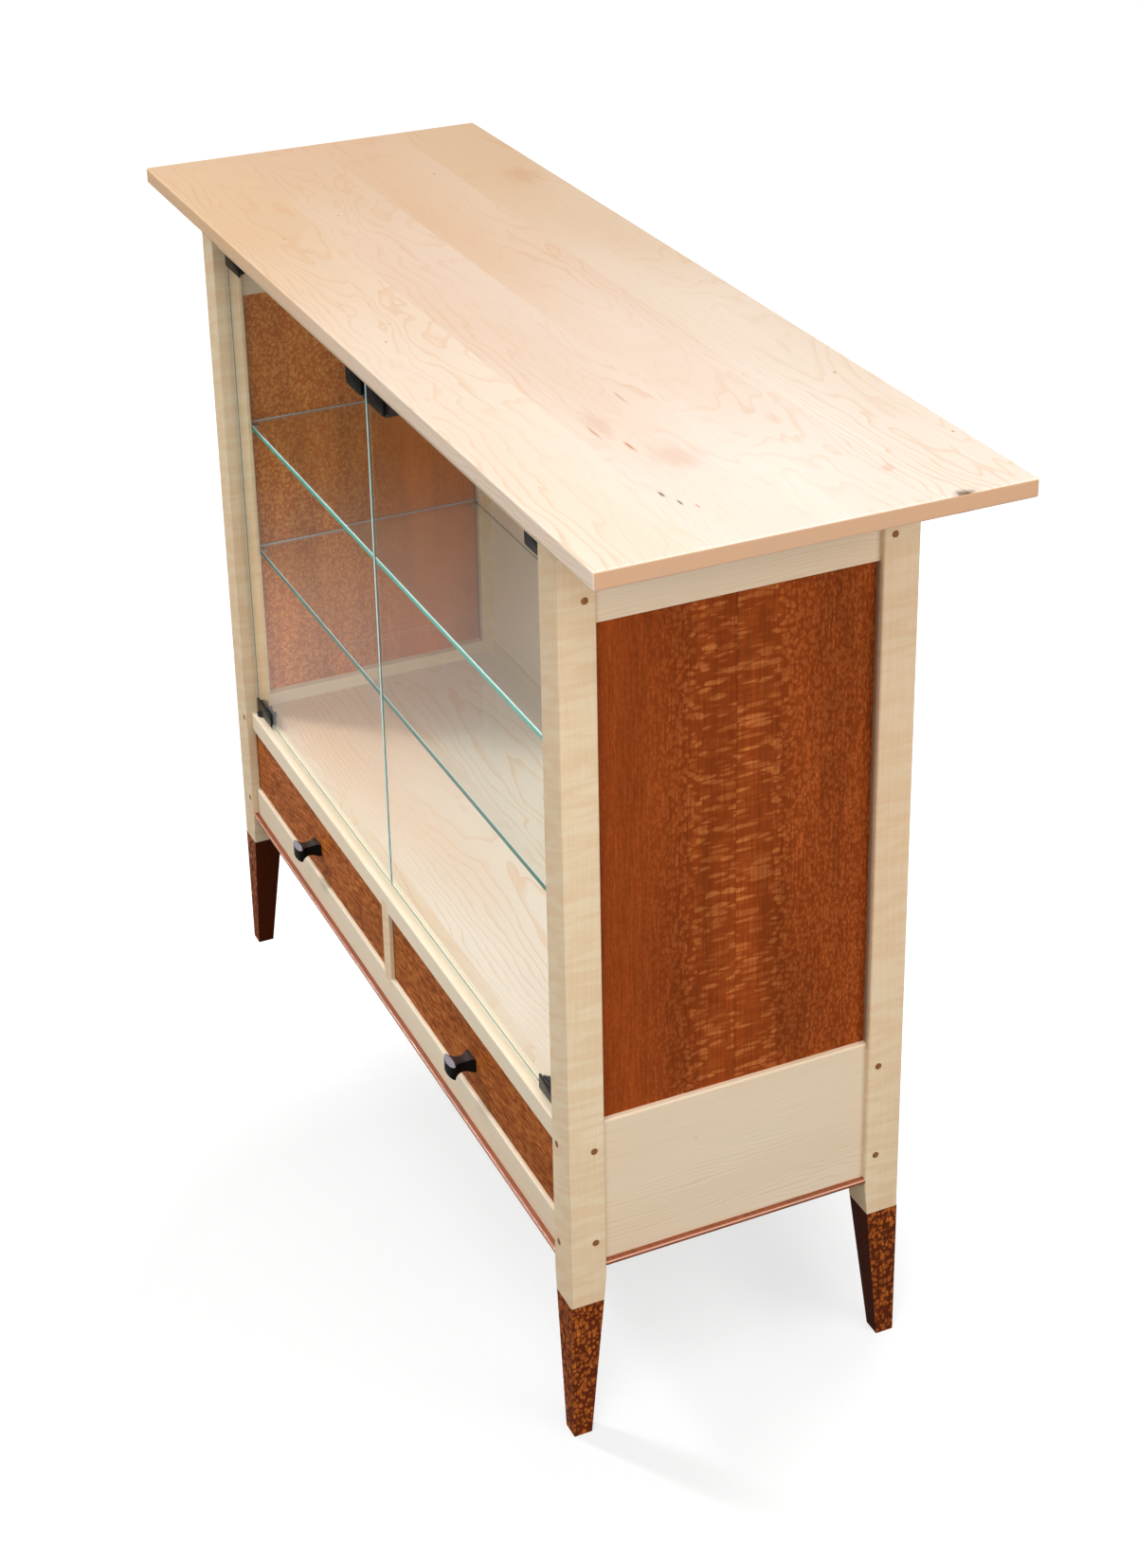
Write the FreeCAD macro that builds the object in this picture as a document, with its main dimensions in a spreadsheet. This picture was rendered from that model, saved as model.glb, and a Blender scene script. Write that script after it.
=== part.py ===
import FreeCAD, Part
import math
import os
import types
import Sketcher

# Display cabinet: a maple case with leopardwood end panels, glazed doors above two drawers.
# Frame: origin on the floor under the middle of the top, +X to the right seen from the front,
# -Y towards the front, +Z up. All sizes are in millimetres.
#
# The joinery is the skilled work here. Every rail has tenons that are mitred where two of them meet
# inside a post, and a peg locks each one. The end and back panels float in grooves. The drawer boxes
# are dovetailed, half blind at the front and through at the back, and the divider between the drawers
# is let into both rails with lapped dovetails.

Vector = FreeCAD.Vector
Placement = FreeCAD.Placement
Rotation = FreeCAD.Rotation

doc = FreeCAD.newDocument("DisplayCabinet")
sheet = doc.addObject("Spreadsheet::Sheet", "Sizes")

SIZES = [
    ("total_height", 914, "floor to the face of the top"),
    ("top_length", 1150, "top, end to end"),
    ("top_depth", 384, "top, front to back"),
    ("top_thickness", 16.5, "top board"),
    ("top_easing", 2, "rounding of the top's arrises"),
    ("end_overhang", 119.5, "top beyond the posts at each end"),
    ("front_overhang", 22.5, "top beyond the front posts"),
    ("body_depth", 330, "front post face to back post face"),
    ("post_side", 34.5, "square post"),
    ("post_arris", 1, "chamfer on the posts and feet"),
    ("foot_height", 143.2, "floor to the joint between foot and post"),
    ("taper_above_joint", 28.8, "start of the taper on the two inner faces, above that joint"),
    ("foot_tip", 17.5, "foot's side at the floor"),
    ("stub_side", 14, "stub tenon on top of the foot"),
    ("stub_length", 25, "its length"),
    ("rail_setback", 5.5, "rail faces behind the post faces"),
    ("rail_thickness", 24, "end and front rails"),
    ("back_rail_thickness", 18, "back rails"),
    ("rail_easing", 2, "rounded upper arris of the visible rails"),
    ("tenon_setback", 11, "outer cheek of every tenon and panel behind the post face"),
    ("tenon_thickness", 9, "tenons, and the panels in line with them"),
    ("panel_tongue", 6, "panel's depth in its grooves"),
    ("panel_play", 0.5, "room left in a groove for the wood to move"),
    ("wide_shoulder", 8, "shoulder above and below the tenon of a wide rail"),
    ("narrow_shoulder", 3, "the same on the narrow front rails"),
    ("peg_width", 6.35, "octagonal pegs through the tenons, across flats"),
    ("peg_edge", 10, "peg centre in from the post's inner face"),
    ("peg_from_end", 24, "pegs of a wide rail, from the rail's edge"),
    ("bead_above_taper", 3.5, "underside of the beads above the start of the taper"),
    ("bead_height", 8, "beads under the rails"),
    ("bead_depth", 26, "beads, from the post face inwards"),
    ("bead_nose", 3.6, "radius of the bead's rounded nose"),
    ("bottom_rail_height", 145, "bottom rails of the ends and the back"),
    ("top_rail_height", 92.5, "their top rails"),
    ("sill_height", 20.8, "sill under the doors"),
    ("sill_depth", 22.1, "sill, front to back"),
    ("lower_rail_height", 32.5, "rail under the drawers"),
    ("drawer_opening", 77.5, "height between that rail and the sill"),
    ("front_top_rail_height", 33, "rail over the doors"),
    ("divider_width", 19, "upright between the drawers"),
    ("lap_root", 13, "divider's lapped dovetail where it leaves the upright"),
    ("lap_end", 18, "its wide end"),
    ("lap_length", 8, "its length"),
    ("lap_depth", 12, "its depth from the front"),
    ("floor_thickness", 12, "floor of the glazed space"),
    ("floor_tongue", 6, "thickness of the floor's tongue"),
    ("tongue_reach", 5, "how far that tongue enters the rails"),
    ("case_play", 0.5, "general clearance beside posts and in grooves"),
    ("glass_setback", 13, "outer face of the door glass behind the post face"),
    ("glass_thickness", 6, "door glass"),
    ("glass_above_sill", 6.2, "lower edge of the door glass above the sill"),
    ("glass_under_rail", 6, "upper edge of the door glass below the rail"),
    ("glass_to_post", 5.4, "outer edge of each door to the post"),
    ("glass_gap", 2.5, "gap where the doors meet"),
    ("clamp_length", 47.6, "pivot clamp along the door"),
    ("clamp_reach", 13.5, "clamp's plates up the glass"),
    ("clamp_web", 2.5, "metal under or over the glass edge"),
    ("clamp_front", 1.5, "outer plate of clamp and strike"),
    ("clamp_back", 4, "inner plate of the clamp"),
    ("clamp_screw_rise", 7.5, "clamp screws from the glass edge"),
    ("clamp_screw_pitch", 14.3, "spacing of the three clamp screws"),
    ("clamp_screw_diameter", 6, "headless screws that grip the glass"),
    ("clamp_screw_stand", 3, "clamp screws out of the inner plate"),
    ("pivot_inset", 8, "pivot in from the door's outer edge"),
    ("pin_diameter", 5, "pivot pins"),
    ("pin_reach", 9, "pin below or above the sill or rail face"),
    ("pin_play", 0.05, "running clearance of pins and plungers"),
    ("bush_wall", 1.5, "pivot bushes"),
    ("bush_depth", 10, "bush in the wood"),
    ("bush_flange", 3, "flange's width beyond the bush"),
    ("bush_gap", 0.2, "clamp to flange"),
    ("screw_head", 7, "heads of the small screws, diameter"),
    ("screw_head_height", 2.5, "heads of the small screws"),
    ("screw_shank", 4, "shanks of the small screws"),
    ("strike_length", 41, "strike clip along the door"),
    ("strike_reach", 18.5, "strike clip down the glass"),
    ("strike_web", 1.5, "strike clip over the glass edge"),
    ("strike_centre", 29, "strikes and plungers from the middle"),
    ("latch_setback", 21, "latch's face behind the post face"),
    ("latch_width", 79.4, "double touch latch"),
    ("latch_length", 50, "latch, front to back"),
    ("latch_height", 29.5, "latch"),
    ("plunger_rise", 14, "plunger axes above the latch's underside"),
    ("plunger_diameter", 9, "plungers"),
    ("plunger_length", 26, "plungers"),
    ("plunger_bore_depth", 30, "bores in the latch body"),
    ("plunger_step", 0.6, "plunger tips, smaller all round"),
    ("plunger_tip_length", 2.5, "plunger tips"),
    ("block_width", 90, "maple block over the latch"),
    ("block_length", 45, "block behind the front top rail"),
    ("latch_screw_spacing", 24, "the two screws of the latch"),
    ("shelf_thickness", 6.35, "glass shelves"),
    ("lower_shelf_rise", 195.7, "upper face of the lower shelf above the floor of the glazed space"),
    ("shelf_spacing", 148.5, "from shelf to shelf"),
    ("shelf_end_play", 1.5, "shelf to end panel"),
    ("shelf_pin_diameter", 5, "shelf pins"),
    ("shelf_pin_reach", 9, "pin under the shelf"),
    ("shelf_pin_depth", 10, "pin in the post"),
    ("shelf_pin_inset", 27.5, "pin from the post's outer face"),
    ("drawer_setback", 9, "drawer front behind the post face"),
    ("drawer_gap", 1, "gap round a drawer front"),
    ("drawer_front_thickness", 19, "drawer front"),
    ("drawer_side_thickness", 11, "drawer sides and backs"),
    ("stop_thickness", 18.6, "drawer stops, front to back"),
    ("stop_gap", 0.4, "shut drawers to their stops"),
    ("drawer_side_drop", 5.5, "upper edge of the drawer sides below that of the front"),
    ("drawer_ride", 0.2, "sides over the runners"),
    ("drawer_back_drop", 4, "back below the sides"),
    ("drawer_bottom_thickness", 6, "drawer bottoms"),
    ("drawer_bottom_lift", 8, "bottom's groove above the sides' lower edge"),
    ("drawer_groove", 5, "grooves for the bottom"),
    ("dovetail_slope", 7, "dovetails slope one in this"),
    ("tail_share", 0.72, "tail's wide end as a share of the spacing"),
    ("half_blind_length", 13, "tails in the drawer front"),
    ("runner_thickness", 16, "drawer runners"),
    ("runner_width", 21, "runners at the ends"),
    ("guide_height", 14, "guides above the runners"),
    ("kicker_gap", 1, "sides to kickers"),
    ("stop_height", 24, "drawer stops"),
    ("pull_height", 14, "carved pull"),
    ("pull_drop", 5.75, "centre of the pull below the middle of the drawer front"),
    ("pull_base", 16.5, "pull's width on the drawer"),
    ("pull_waist", 6, "pull's waist"),
    ("pull_waist_reach", 12, "drawer face to the waist"),
    ("pull_flare", 10.1, "radius of the hollow behind the head"),
    ("pull_head", 25, "pull's head"),
    ("pull_shoulder", 22, "drawer face to the head's shoulder"),
    ("pull_reach", 26, "drawer face to the middle of the head"),
    ("pull_cove_radius", 12, "cove carved over and under the waist"),
    ("pull_cove_depth", 3, "depth of that cove"),
    ("pull_screw_reach", 12, "screws in the pulls and in the latch's block"),
    ("button_width", 24, "buttons that hold the top"),
    ("button_length", 28, "their bodies"),
    ("button_thickness", 14, "their thickness"),
    ("button_tongue", 7, "their tongues in the rails"),
    ("button_tongue_height", 6, "thickness of the tongues"),
    ("button_slot", 8, "slots in the rails"),
    ("button_offset", 250, "front and back buttons from the middle"),
    ("button_screw_reach", 10, "screws in the top"),
]


class Size:
    """A length that carries both its number and the sheet expression that drives it."""

    def __init__(self, value, text):
        self.value = value
        self.text = text

    def __add__(self, other):
        other = as_size(other)
        return Size(self.value + other.value, "(" + self.text + " + " + other.text + ")")

    def __sub__(self, other):
        other = as_size(other)
        return Size(self.value - other.value, "(" + self.text + " - " + other.text + ")")

    def __mul__(self, other):
        other = as_size(other)
        return Size(self.value * other.value, "(" + self.text + " * " + other.text + ")")

    def __truediv__(self, other):
        other = as_size(other)
        return Size(self.value / other.value, "(" + self.text + " / " + other.text + ")")

    def __neg__(self):
        return self * -1


def as_size(value):
    """A Size from a Size or from a plain number."""
    if isinstance(value, Size):
        return value
    return Size(float(value), "(" + repr(float(value)) + ")")


S = types.SimpleNamespace()
row_count = 0


def add_row(alias, content, note):
    """Write one named row of the sheet."""
    global row_count
    row_count += 1
    sheet.set("A" + str(row_count), alias)
    sheet.set("B" + str(row_count), content)
    sheet.set("C" + str(row_count), note)
    sheet.setAlias("B" + str(row_count), alias)


def derive(alias, size, note):
    """Keep a size that follows from others as a named row of the sheet."""
    add_row(alias, "=" + size.text.replace("Sizes.", ""), note)
    setattr(S, alias, Size(size.value, "Sizes." + alias))


for size_name, number, meaning in SIZES:
    add_row(size_name, str(number), meaning)
    setattr(S, size_name, Size(float(number), "Sizes." + size_name))

derive("half_length", S.top_length / 2 - S.end_overhang, "middle to the posts' outer faces")
derive("front_face", S.front_overhang - S.top_depth / 2, "front posts' outer face")
derive("back_face", S.front_face + S.body_depth, "back posts' outer face")
derive("post_inner", S.half_length - S.post_side, "middle to the posts' inner faces")
derive("front_inner", S.front_face + S.post_side, "front posts' back face")
derive("back_inner", S.back_face - S.post_side, "back posts' front face")
derive("rail_top", S.total_height - S.top_thickness, "underside of the top")
derive("taper_start", S.foot_height + S.taper_above_joint, "start of the taper")
derive("bead_bottom", S.taper_start + S.bead_above_taper, "underside of the beads")
derive("bead_top", S.bead_bottom + S.bead_height, "underside of the rails")
derive("bottom_rail_top", S.bead_top + S.bottom_rail_height, "upper edge of the wide bottom rails")
derive("top_rail_bottom", S.rail_top - S.top_rail_height, "lower edge of the top rails")
derive("lower_rail_top", S.bead_top + S.lower_rail_height, "rail under the drawers, upper face")
derive("sill_bottom", S.lower_rail_top + S.drawer_opening, "underside of the sill")
derive("sill_top", S.sill_bottom + S.sill_height, "upper face of the sill")
derive("front_top_rail_bottom", S.rail_top - S.front_top_rail_height, "underside of the rail over the doors")
derive("latch_bottom", S.front_top_rail_bottom - S.latch_height, "underside of the latch")
derive("plunger_height", S.latch_bottom + S.plunger_rise, "plunger axes")
derive("glass_bottom", S.sill_top + S.glass_above_sill, "lower edge of the door glass")
derive("glass_top", S.front_top_rail_bottom - S.glass_under_rail, "upper edge of the door glass")
derive("glass_outer", S.post_inner - S.glass_to_post, "outer edges of the doors from the middle")
derive("lower_shelf_top", S.sill_top + S.lower_shelf_rise, "lower shelf")
derive("upper_shelf_top", S.lower_shelf_top + S.shelf_spacing, "upper shelf")
derive("front_rail_face", S.front_face + S.rail_setback, "front rails' outer face")
derive("front_rail_back", S.front_rail_face + S.rail_thickness, "front rails' inner face")
derive("sill_back", S.front_rail_face + S.sill_depth, "sill's inner face")
derive("back_rail_face", S.back_face - S.rail_setback, "back rails' outer face")
derive("back_rail_front", S.back_rail_face - S.back_rail_thickness, "back rails' inner face")
derive("end_rail_face", S.half_length - S.rail_setback, "end rails' outer face")
derive("end_rail_inner", S.end_rail_face - S.rail_thickness, "end rails' inner face")
derive("tenon_inner", S.tenon_setback + S.tenon_thickness, "inner cheek of tenons behind the post face")
derive("floor_top", S.sill_top, "floor of the glazed space")
derive("floor_bottom", S.floor_top - S.floor_thickness, "its underside")
derive("tongue_bottom", S.floor_bottom + S.floor_thickness / 2 - S.floor_tongue / 2, "floor tongue, lower face")
derive("tongue_top", S.tongue_bottom + S.floor_tongue, "floor tongue, upper face")
derive("foot_joint_side", S.foot_tip + (S.post_side - S.foot_tip) * S.foot_height / S.taper_start,
       "post and foot where they meet")
derive("peg_inset", S.post_side - S.peg_edge, "pegs from the post's outer face")
derive("peg_radius", S.peg_width / 2 / math.cos(math.pi / 8), "pegs, middle to corner")
derive("glass_face", S.front_face + S.glass_setback, "door glass, outer face")
derive("glass_back", S.glass_face + S.glass_thickness, "door glass, inner face")
derive("pivot_y", S.glass_face + S.glass_thickness / 2, "pivot axis, in the middle of the glass")
derive("pivot_x", S.glass_outer - S.pivot_inset, "pivot axes from the middle")
derive("pin_radius", S.pin_diameter / 2, "pivot pins")
derive("bush_radius", S.pin_radius + S.pin_play + S.bush_wall, "pivot bushes, outside")
derive("clamp_low", S.glass_bottom - S.clamp_web, "underside of the lower clamps")
derive("clamp_high", S.glass_top + S.clamp_web, "upper side of the upper clamps")
derive("latch_face", S.front_face + S.latch_setback, "latch's front")
derive("shank_radius", S.screw_shank / 2, "screw shanks")
derive("divider_half", S.divider_width / 2, "half the divider")
derive("drawer_inner", S.divider_half + S.drawer_gap, "drawers' inner ends from the middle")
derive("drawer_outer", S.post_inner - S.drawer_gap, "drawers' outer ends from the middle")
derive("drawer_face", S.front_face + S.drawer_setback, "drawer fronts' faces")
derive("drawer_front_back", S.drawer_face + S.drawer_front_thickness, "drawer fronts' inner faces")
derive("drawer_end", S.back_rail_front - S.stop_thickness - S.stop_gap, "back of the drawers")
derive("drawer_low", S.lower_rail_top + S.drawer_gap, "drawer fronts' lower edges")
derive("drawer_high", S.sill_bottom - S.drawer_gap, "drawer fronts' upper edges")
derive("side_low", S.lower_rail_top + S.drawer_ride, "drawer sides' lower edges")
derive("drawer_side_top", S.drawer_high - S.drawer_side_drop, "drawer sides' upper edges")
derive("pull_middle", (S.drawer_low + S.drawer_high) / 2 - S.pull_drop, "centre of the pulls")
derive("box_low", S.side_low + S.drawer_bottom_lift, "drawer bottoms' lower faces")
derive("box_floor", S.box_low + S.drawer_bottom_thickness, "drawer bottoms' upper faces")
derive("drawer_middle", (S.drawer_inner + S.drawer_outer) / 2, "middle of each drawer")
derive("shelf_pin_radius", S.shelf_pin_diameter / 2, "shelf pins")
derive("plunger_tip", S.glass_back + S.strike_web + S.bush_gap, "plungers' tips with the doors shut")

# The origin plane square to each axis, and the two axes that its sketches lie along.
PLANES = {"X": ("YZ_Plane", "YZ"), "Y": ("XZ_Plane", "XZ"), "Z": ("XY_Plane", "XY")}
cuts = []
# Two places closer than this are the same place.
TOUCH = 0.01


def rect(a0, b0, a1, b1):
    """A rectangle between two opposite corners."""
    return [(a0, b0), (a1, b0), (a1, b1), (a0, b1)]


def disc(a, b, radius):
    """A full circle."""
    return ("disc", a, b, radius)


def octagon(a, b):
    """The outline of a peg: an octagon that stands on one of its flats."""
    corners = []
    for number in range(8):
        angle = math.pi / 8 + math.pi / 4 * number
        corners.append((a + S.peg_radius * math.cos(angle), b + S.peg_radius * math.sin(angle)))
    return corners


def short_arc(start, end, radius):
    """The short arc between two points; a positive radius bends it to the right of the chord."""
    chord = end - start
    size = abs(radius)
    height = math.sqrt(max(size * size - chord.Length * chord.Length / 4, 0))
    side = Vector(chord.y, -chord.x, 0).normalize()
    centre = (start + end) * 0.5 - side * math.copysign(height, radius)
    first, last = (start, end) if radius > 0 else (end, start)
    first_angle = math.atan2(first.y - centre.y, first.x - centre.x)
    last_angle = math.atan2(last.y - centre.y, last.x - centre.x)
    if last_angle < first_angle:
        last_angle += 2 * math.pi
    return Part.ArcOfCircle(Part.Circle(centre, Vector(0, 0, 1), size), first_angle, last_angle)


class Piece:
    """One solid body. Its points are given in the cabinet's frame; base is the body's own origin in it."""

    def __init__(self, name, base):
        self.body = doc.addObject("PartDesign::Body", name)
        self.body.Label = name
        self.base = {letter: as_size(value) for letter, value in zip("XYZ", base)}
        for letter, value in self.base.items():
            self.body.setExpression("Placement.Base." + letter.lower(), value.text)

    def fix(self, sketch, kind, geometry, point, size):
        """Tie a point's distance from the body's origin to the sheet."""
        index = sketch.addConstraint(Sketcher.Constraint(kind, -1, 1, geometry, point, size.value))
        sketch.setExpression("Constraints[" + str(index) + "]", size.text)

    def draw(self, sketch, loop, first, second):
        """Add one closed outline, fully tied to the sheet."""
        if loop[0] == "disc":
            a = as_size(loop[1]) - self.base[first]
            b = as_size(loop[2]) - self.base[second]
            radius = as_size(loop[3])
            circle = Part.Circle(Vector(a.value, b.value, 0), Vector(0, 0, 1), radius.value)
            geometry = sketch.addGeometry(circle, False)
            self.fix(sketch, "DistanceX", geometry, 3, a)
            self.fix(sketch, "DistanceY", geometry, 3, b)
            index = sketch.addConstraint(Sketcher.Constraint("Radius", geometry, radius.value))
            sketch.setExpression("Constraints[" + str(index) + "]", radius.text)
            return
        points = []
        for vertex in loop:
            a = as_size(vertex[0]) - self.base[first]
            b = as_size(vertex[1]) - self.base[second]
            points.append((a, b, vertex[2] if len(vertex) > 2 else None))
        ends = []
        for number, (a, b, radius) in enumerate(points):
            following = points[(number + 1) % len(points)]
            start = Vector(a.value, b.value, 0)
            end = Vector(following[0].value, following[1].value, 0)
            if radius is None:
                geometry = sketch.addGeometry(Part.LineSegment(start, end), False)
                ends.append((geometry, 1, 2))
                continue
            geometry = sketch.addGeometry(short_arc(start, end, radius.value), False)
            ends.append((geometry, 1, 2) if radius.value > 0 else (geometry, 2, 1))
            text = radius.text if radius.value > 0 else (-radius).text
            index = sketch.addConstraint(Sketcher.Constraint("Radius", geometry, abs(radius.value)))
            sketch.setExpression("Constraints[" + str(index) + "]", text)
        for number, (geometry, start_point, end_point) in enumerate(ends):
            following = ends[(number + 1) % len(ends)]
            sketch.addConstraint(
                Sketcher.Constraint("Coincident", geometry, end_point, following[0], following[1]))
            self.fix(sketch, "DistanceX", geometry, start_point, points[number][0])
            self.fix(sketch, "DistanceY", geometry, start_point, points[number][1])

    def sketch(self, axis, level, loops):
        """A sketch square to an axis, at a level along it."""
        role, across = PLANES[axis]
        sketch = self.body.newObject("Sketcher::SketchObject", self.body.Name + "_sketch")
        for feature in self.body.Origin.OriginFeatures:
            if feature.Role == role:
                sketch.AttachmentSupport = [(feature, "")]
        sketch.MapMode = "FlatFace"
        lift = as_size(level) - self.base[axis]
        if axis == "Y":
            lift = -lift
        sketch.setExpression("AttachmentOffset.Base.z", lift.text)
        for loop in loops:
            self.draw(sketch, loop, across[0], across[1])
        return sketch

    def extrude(self, kind, axis, low, high, loops):
        """A pad or pocket between two levels along an axis."""
        low = as_size(low)
        high = as_size(high)
        if low.value > high.value:
            low, high = high, low
        level = high if axis == "Y" else low
        sketch = self.sketch(axis, level, loops)
        feature = self.body.newObject("PartDesign::" + kind, self.body.Name + "_" + kind.lower())
        feature.Profile = sketch
        feature.setExpression("Length", (high - low).text)
        sketch.Visibility = False
        return feature

    def pad(self, axis, low, high, *loops):
        """Add material."""
        self.extrude("Pad", axis, low, high, loops)

    def cut(self, axis, low, high, *loops):
        """Take material away."""
        feature = self.extrude("Pocket", axis, low, high, loops)
        feature.Reversed = True
        cuts.append(feature)

    def block(self, x0, x1, y0, y1, z0, z1):
        """A plain board or block as one pad."""
        self.pad("Z", z0, z1, rect(x0, y0, x1, y1))

    def edge_names(self, lines):
        """Names of the straight edges along an axis at two coordinates, in the order X, Y, Z."""
        doc.recompute()
        names = []
        for number, edge in enumerate(self.body.Tip.Shape.Edges):
            box = edge.BoundBox
            reach = {"X": (box.XMin, box.XMax), "Y": (box.YMin, box.YMax), "Z": (box.ZMin, box.ZMax)}
            for axis, first, second in lines:
                near = True
                for letter, wanted in zip("XYZ".replace(axis, ""), (first, second)):
                    wanted = as_size(wanted).value - self.base[letter].value
                    if abs(reach[letter][0] - wanted) > TOUCH or abs(reach[letter][1] - wanted) > TOUCH:
                        near = False
                if near:
                    names.append("Edge" + str(number + 1))
        return names

    def ease(self, kind, size, *lines):
        """A fillet or a chamfer on chosen straight edges."""
        names = self.edge_names(lines)
        if len(names) < len(lines):
            raise RuntimeError("too few edges to ease on " + self.body.Label)
        self.dress(kind, size, names)

    def ease_all(self, kind, size):
        """The same on every edge."""
        doc.recompute()
        count = len(self.body.Tip.Shape.Edges)
        self.dress(kind, size, ["Edge" + str(number + 1) for number in range(count)])

    def dress(self, kind, size, names):
        """A fillet or chamfer feature on named edges of the latest feature."""
        base = self.body.Tip
        feature = self.body.newObject("PartDesign::" + kind, self.body.Name + "_" + kind.lower())
        feature.Base = (base, names)
        feature.setExpression("Radius" if kind == "Fillet" else "Size", size.text)


def turned(name, base, direction, profile):
    """A turned piece: profile is (radius, height) points, its axis starts at base along direction."""
    piece = Piece(name, base)
    piece.body.Placement = Placement(piece.body.Placement.Base, Rotation(Vector(0, 0, 1), Vector(*direction)))
    for letter, value in piece.base.items():
        piece.body.setExpression("Placement.Base." + letter.lower(), value.text)
    local = [(as_size(radius) + piece.base["X"], as_size(height) + piece.base["Z"]) for radius, height in profile]
    sketch = piece.sketch("Y", piece.base["Y"], [local])
    feature = piece.body.newObject("PartDesign::Revolution", name + "_revolution")
    feature.Profile = sketch
    feature.ReferenceAxis = (sketch, ["V_Axis"])
    feature.Angle = 360
    sketch.Visibility = False
    return piece.body


def screw(name, x, y, z, direction, length):
    """A small screw: its head's seat is at the point, its shank runs along direction."""
    head = S.screw_head / 2
    return turned(name, (x, y, z), direction, [
        (0, -S.screw_head_height), (head, -S.screw_head_height), (head, 0),
        (S.shank_radius, 0), (S.shank_radius, length), (0, length)])


def rod(name, x, y, z, direction, length, radius):
    """A plain round rod from a point along direction."""
    cylinder = doc.addObject("Part::Cylinder", name)
    cylinder.Label = name
    cylinder.setExpression("Height", as_size(length).text)
    cylinder.setExpression("Radius", as_size(radius).text)
    cylinder.Placement = Placement(Vector(), Rotation(Vector(0, 0, 1), Vector(*direction)))
    for letter, value in zip("xyz", (x, y, z)):
        cylinder.setExpression("Placement.Base." + letter, as_size(value).text)
    return cylinder


nodes = []


def keep(name, piece):
    """Name a finished piece as one node of the part."""
    shape_owner = piece.body if isinstance(piece, Piece) else piece
    shape_owner.Label = name
    nodes.append((name, shape_owner))


def group(name, members):
    """Several separate solids that share one node."""
    compound = doc.addObject("Part::Compound", name)
    compound.Label = name
    compound.Links = members
    nodes.append((name, compound))


SIDES = (("left", -1), ("right", 1))


def inward(side, end, across_x, across_y):
    """A point measured inwards from the outer corner of a post; end is -1 in front and 1 behind."""
    face = S.front_face if end < 0 else S.back_face
    return (S.half_length - across_x) * side, face - as_size(across_y) * end


def tenon(side, end, along):
    """A mitred tenon in plan, for a rail that runs along X or Y into the post at this corner."""
    offsets = [(S.post_side, S.tenon_setback), (S.tenon_setback, S.tenon_setback),
               (S.tenon_inner, S.tenon_inner), (S.post_side, S.tenon_inner)]
    if along == "Y":
        offsets = [(across_y, across_x) for across_x, across_y in offsets]
    return [inward(side, end, across_x, across_y) for across_x, across_y in offsets]


# Each rail: where its tenons reach, and the heights of its pegs.
wide_top = (S.top_rail_bottom + S.wide_shoulder, S.rail_top - S.wide_shoulder,
            [S.top_rail_bottom + S.peg_from_end, S.rail_top - S.peg_from_end])
wide_bottom = (S.bead_top + S.wide_shoulder, S.bottom_rail_top - S.wide_shoulder,
               [S.bead_top + S.peg_from_end, S.bottom_rail_top - S.peg_from_end])
over_doors = (S.front_top_rail_bottom + S.narrow_shoulder, S.rail_top - S.wide_shoulder,
              [(S.front_top_rail_bottom + S.rail_top) / 2])
under_doors = (S.sill_bottom + S.narrow_shoulder, S.sill_top - S.narrow_shoulder,
               [(S.sill_bottom + S.sill_top) / 2])
under_drawers = (S.bead_top + S.narrow_shoulder, S.lower_rail_top - S.narrow_shoulder,
                 [(S.bead_top + S.lower_rail_top) / 2])
END_JOINTS = [wide_top, wide_bottom]
FRONT_JOINTS = [over_doors, under_doors, under_drawers]
BACK_JOINTS = [wide_top, wide_bottom]
SHELF_TOPS = [S.lower_shelf_top, S.upper_shelf_top]


def shelf_pin_height(shelf_top):
    """Axis of the pins under a shelf."""
    return shelf_top - S.shelf_thickness - S.shelf_pin_radius


# Top board.
top = Piece("top", (-S.top_length / 2, -S.top_depth / 2, S.rail_top))
top.block(-S.top_length / 2, S.top_length / 2, -S.top_depth / 2, S.top_depth / 2, S.rail_top, S.total_height)
top.ease_all("Fillet", S.top_easing)
button_places = [(S.button_offset * side, end, "Y") for side in (-1, 1) for end in (-1, 1)]
button_places += [(side, 0, "X") for side in (-1, 1)]


def button_frame(place):
    """Rail face that a button bears on, the direction into the case, and its middle along the rail."""
    middle, end, axis = place
    if axis == "X":
        return S.end_rail_inner * middle, -middle, as_size(0)
    if end < 0:
        return S.front_rail_back, 1, middle
    return S.back_rail_front, -1, middle


screw_holes = []
for place in button_places:
    face, into, middle = button_frame(place)
    centre = face + S.button_length / 2 * into
    point = (centre, middle) if place[2] == "X" else (middle, centre)
    screw_holes.append(disc(point[0], point[1], S.shank_radius))
top.cut("Z", S.rail_top, S.rail_top + S.button_screw_reach, *screw_holes)
keep("top", top)

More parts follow.
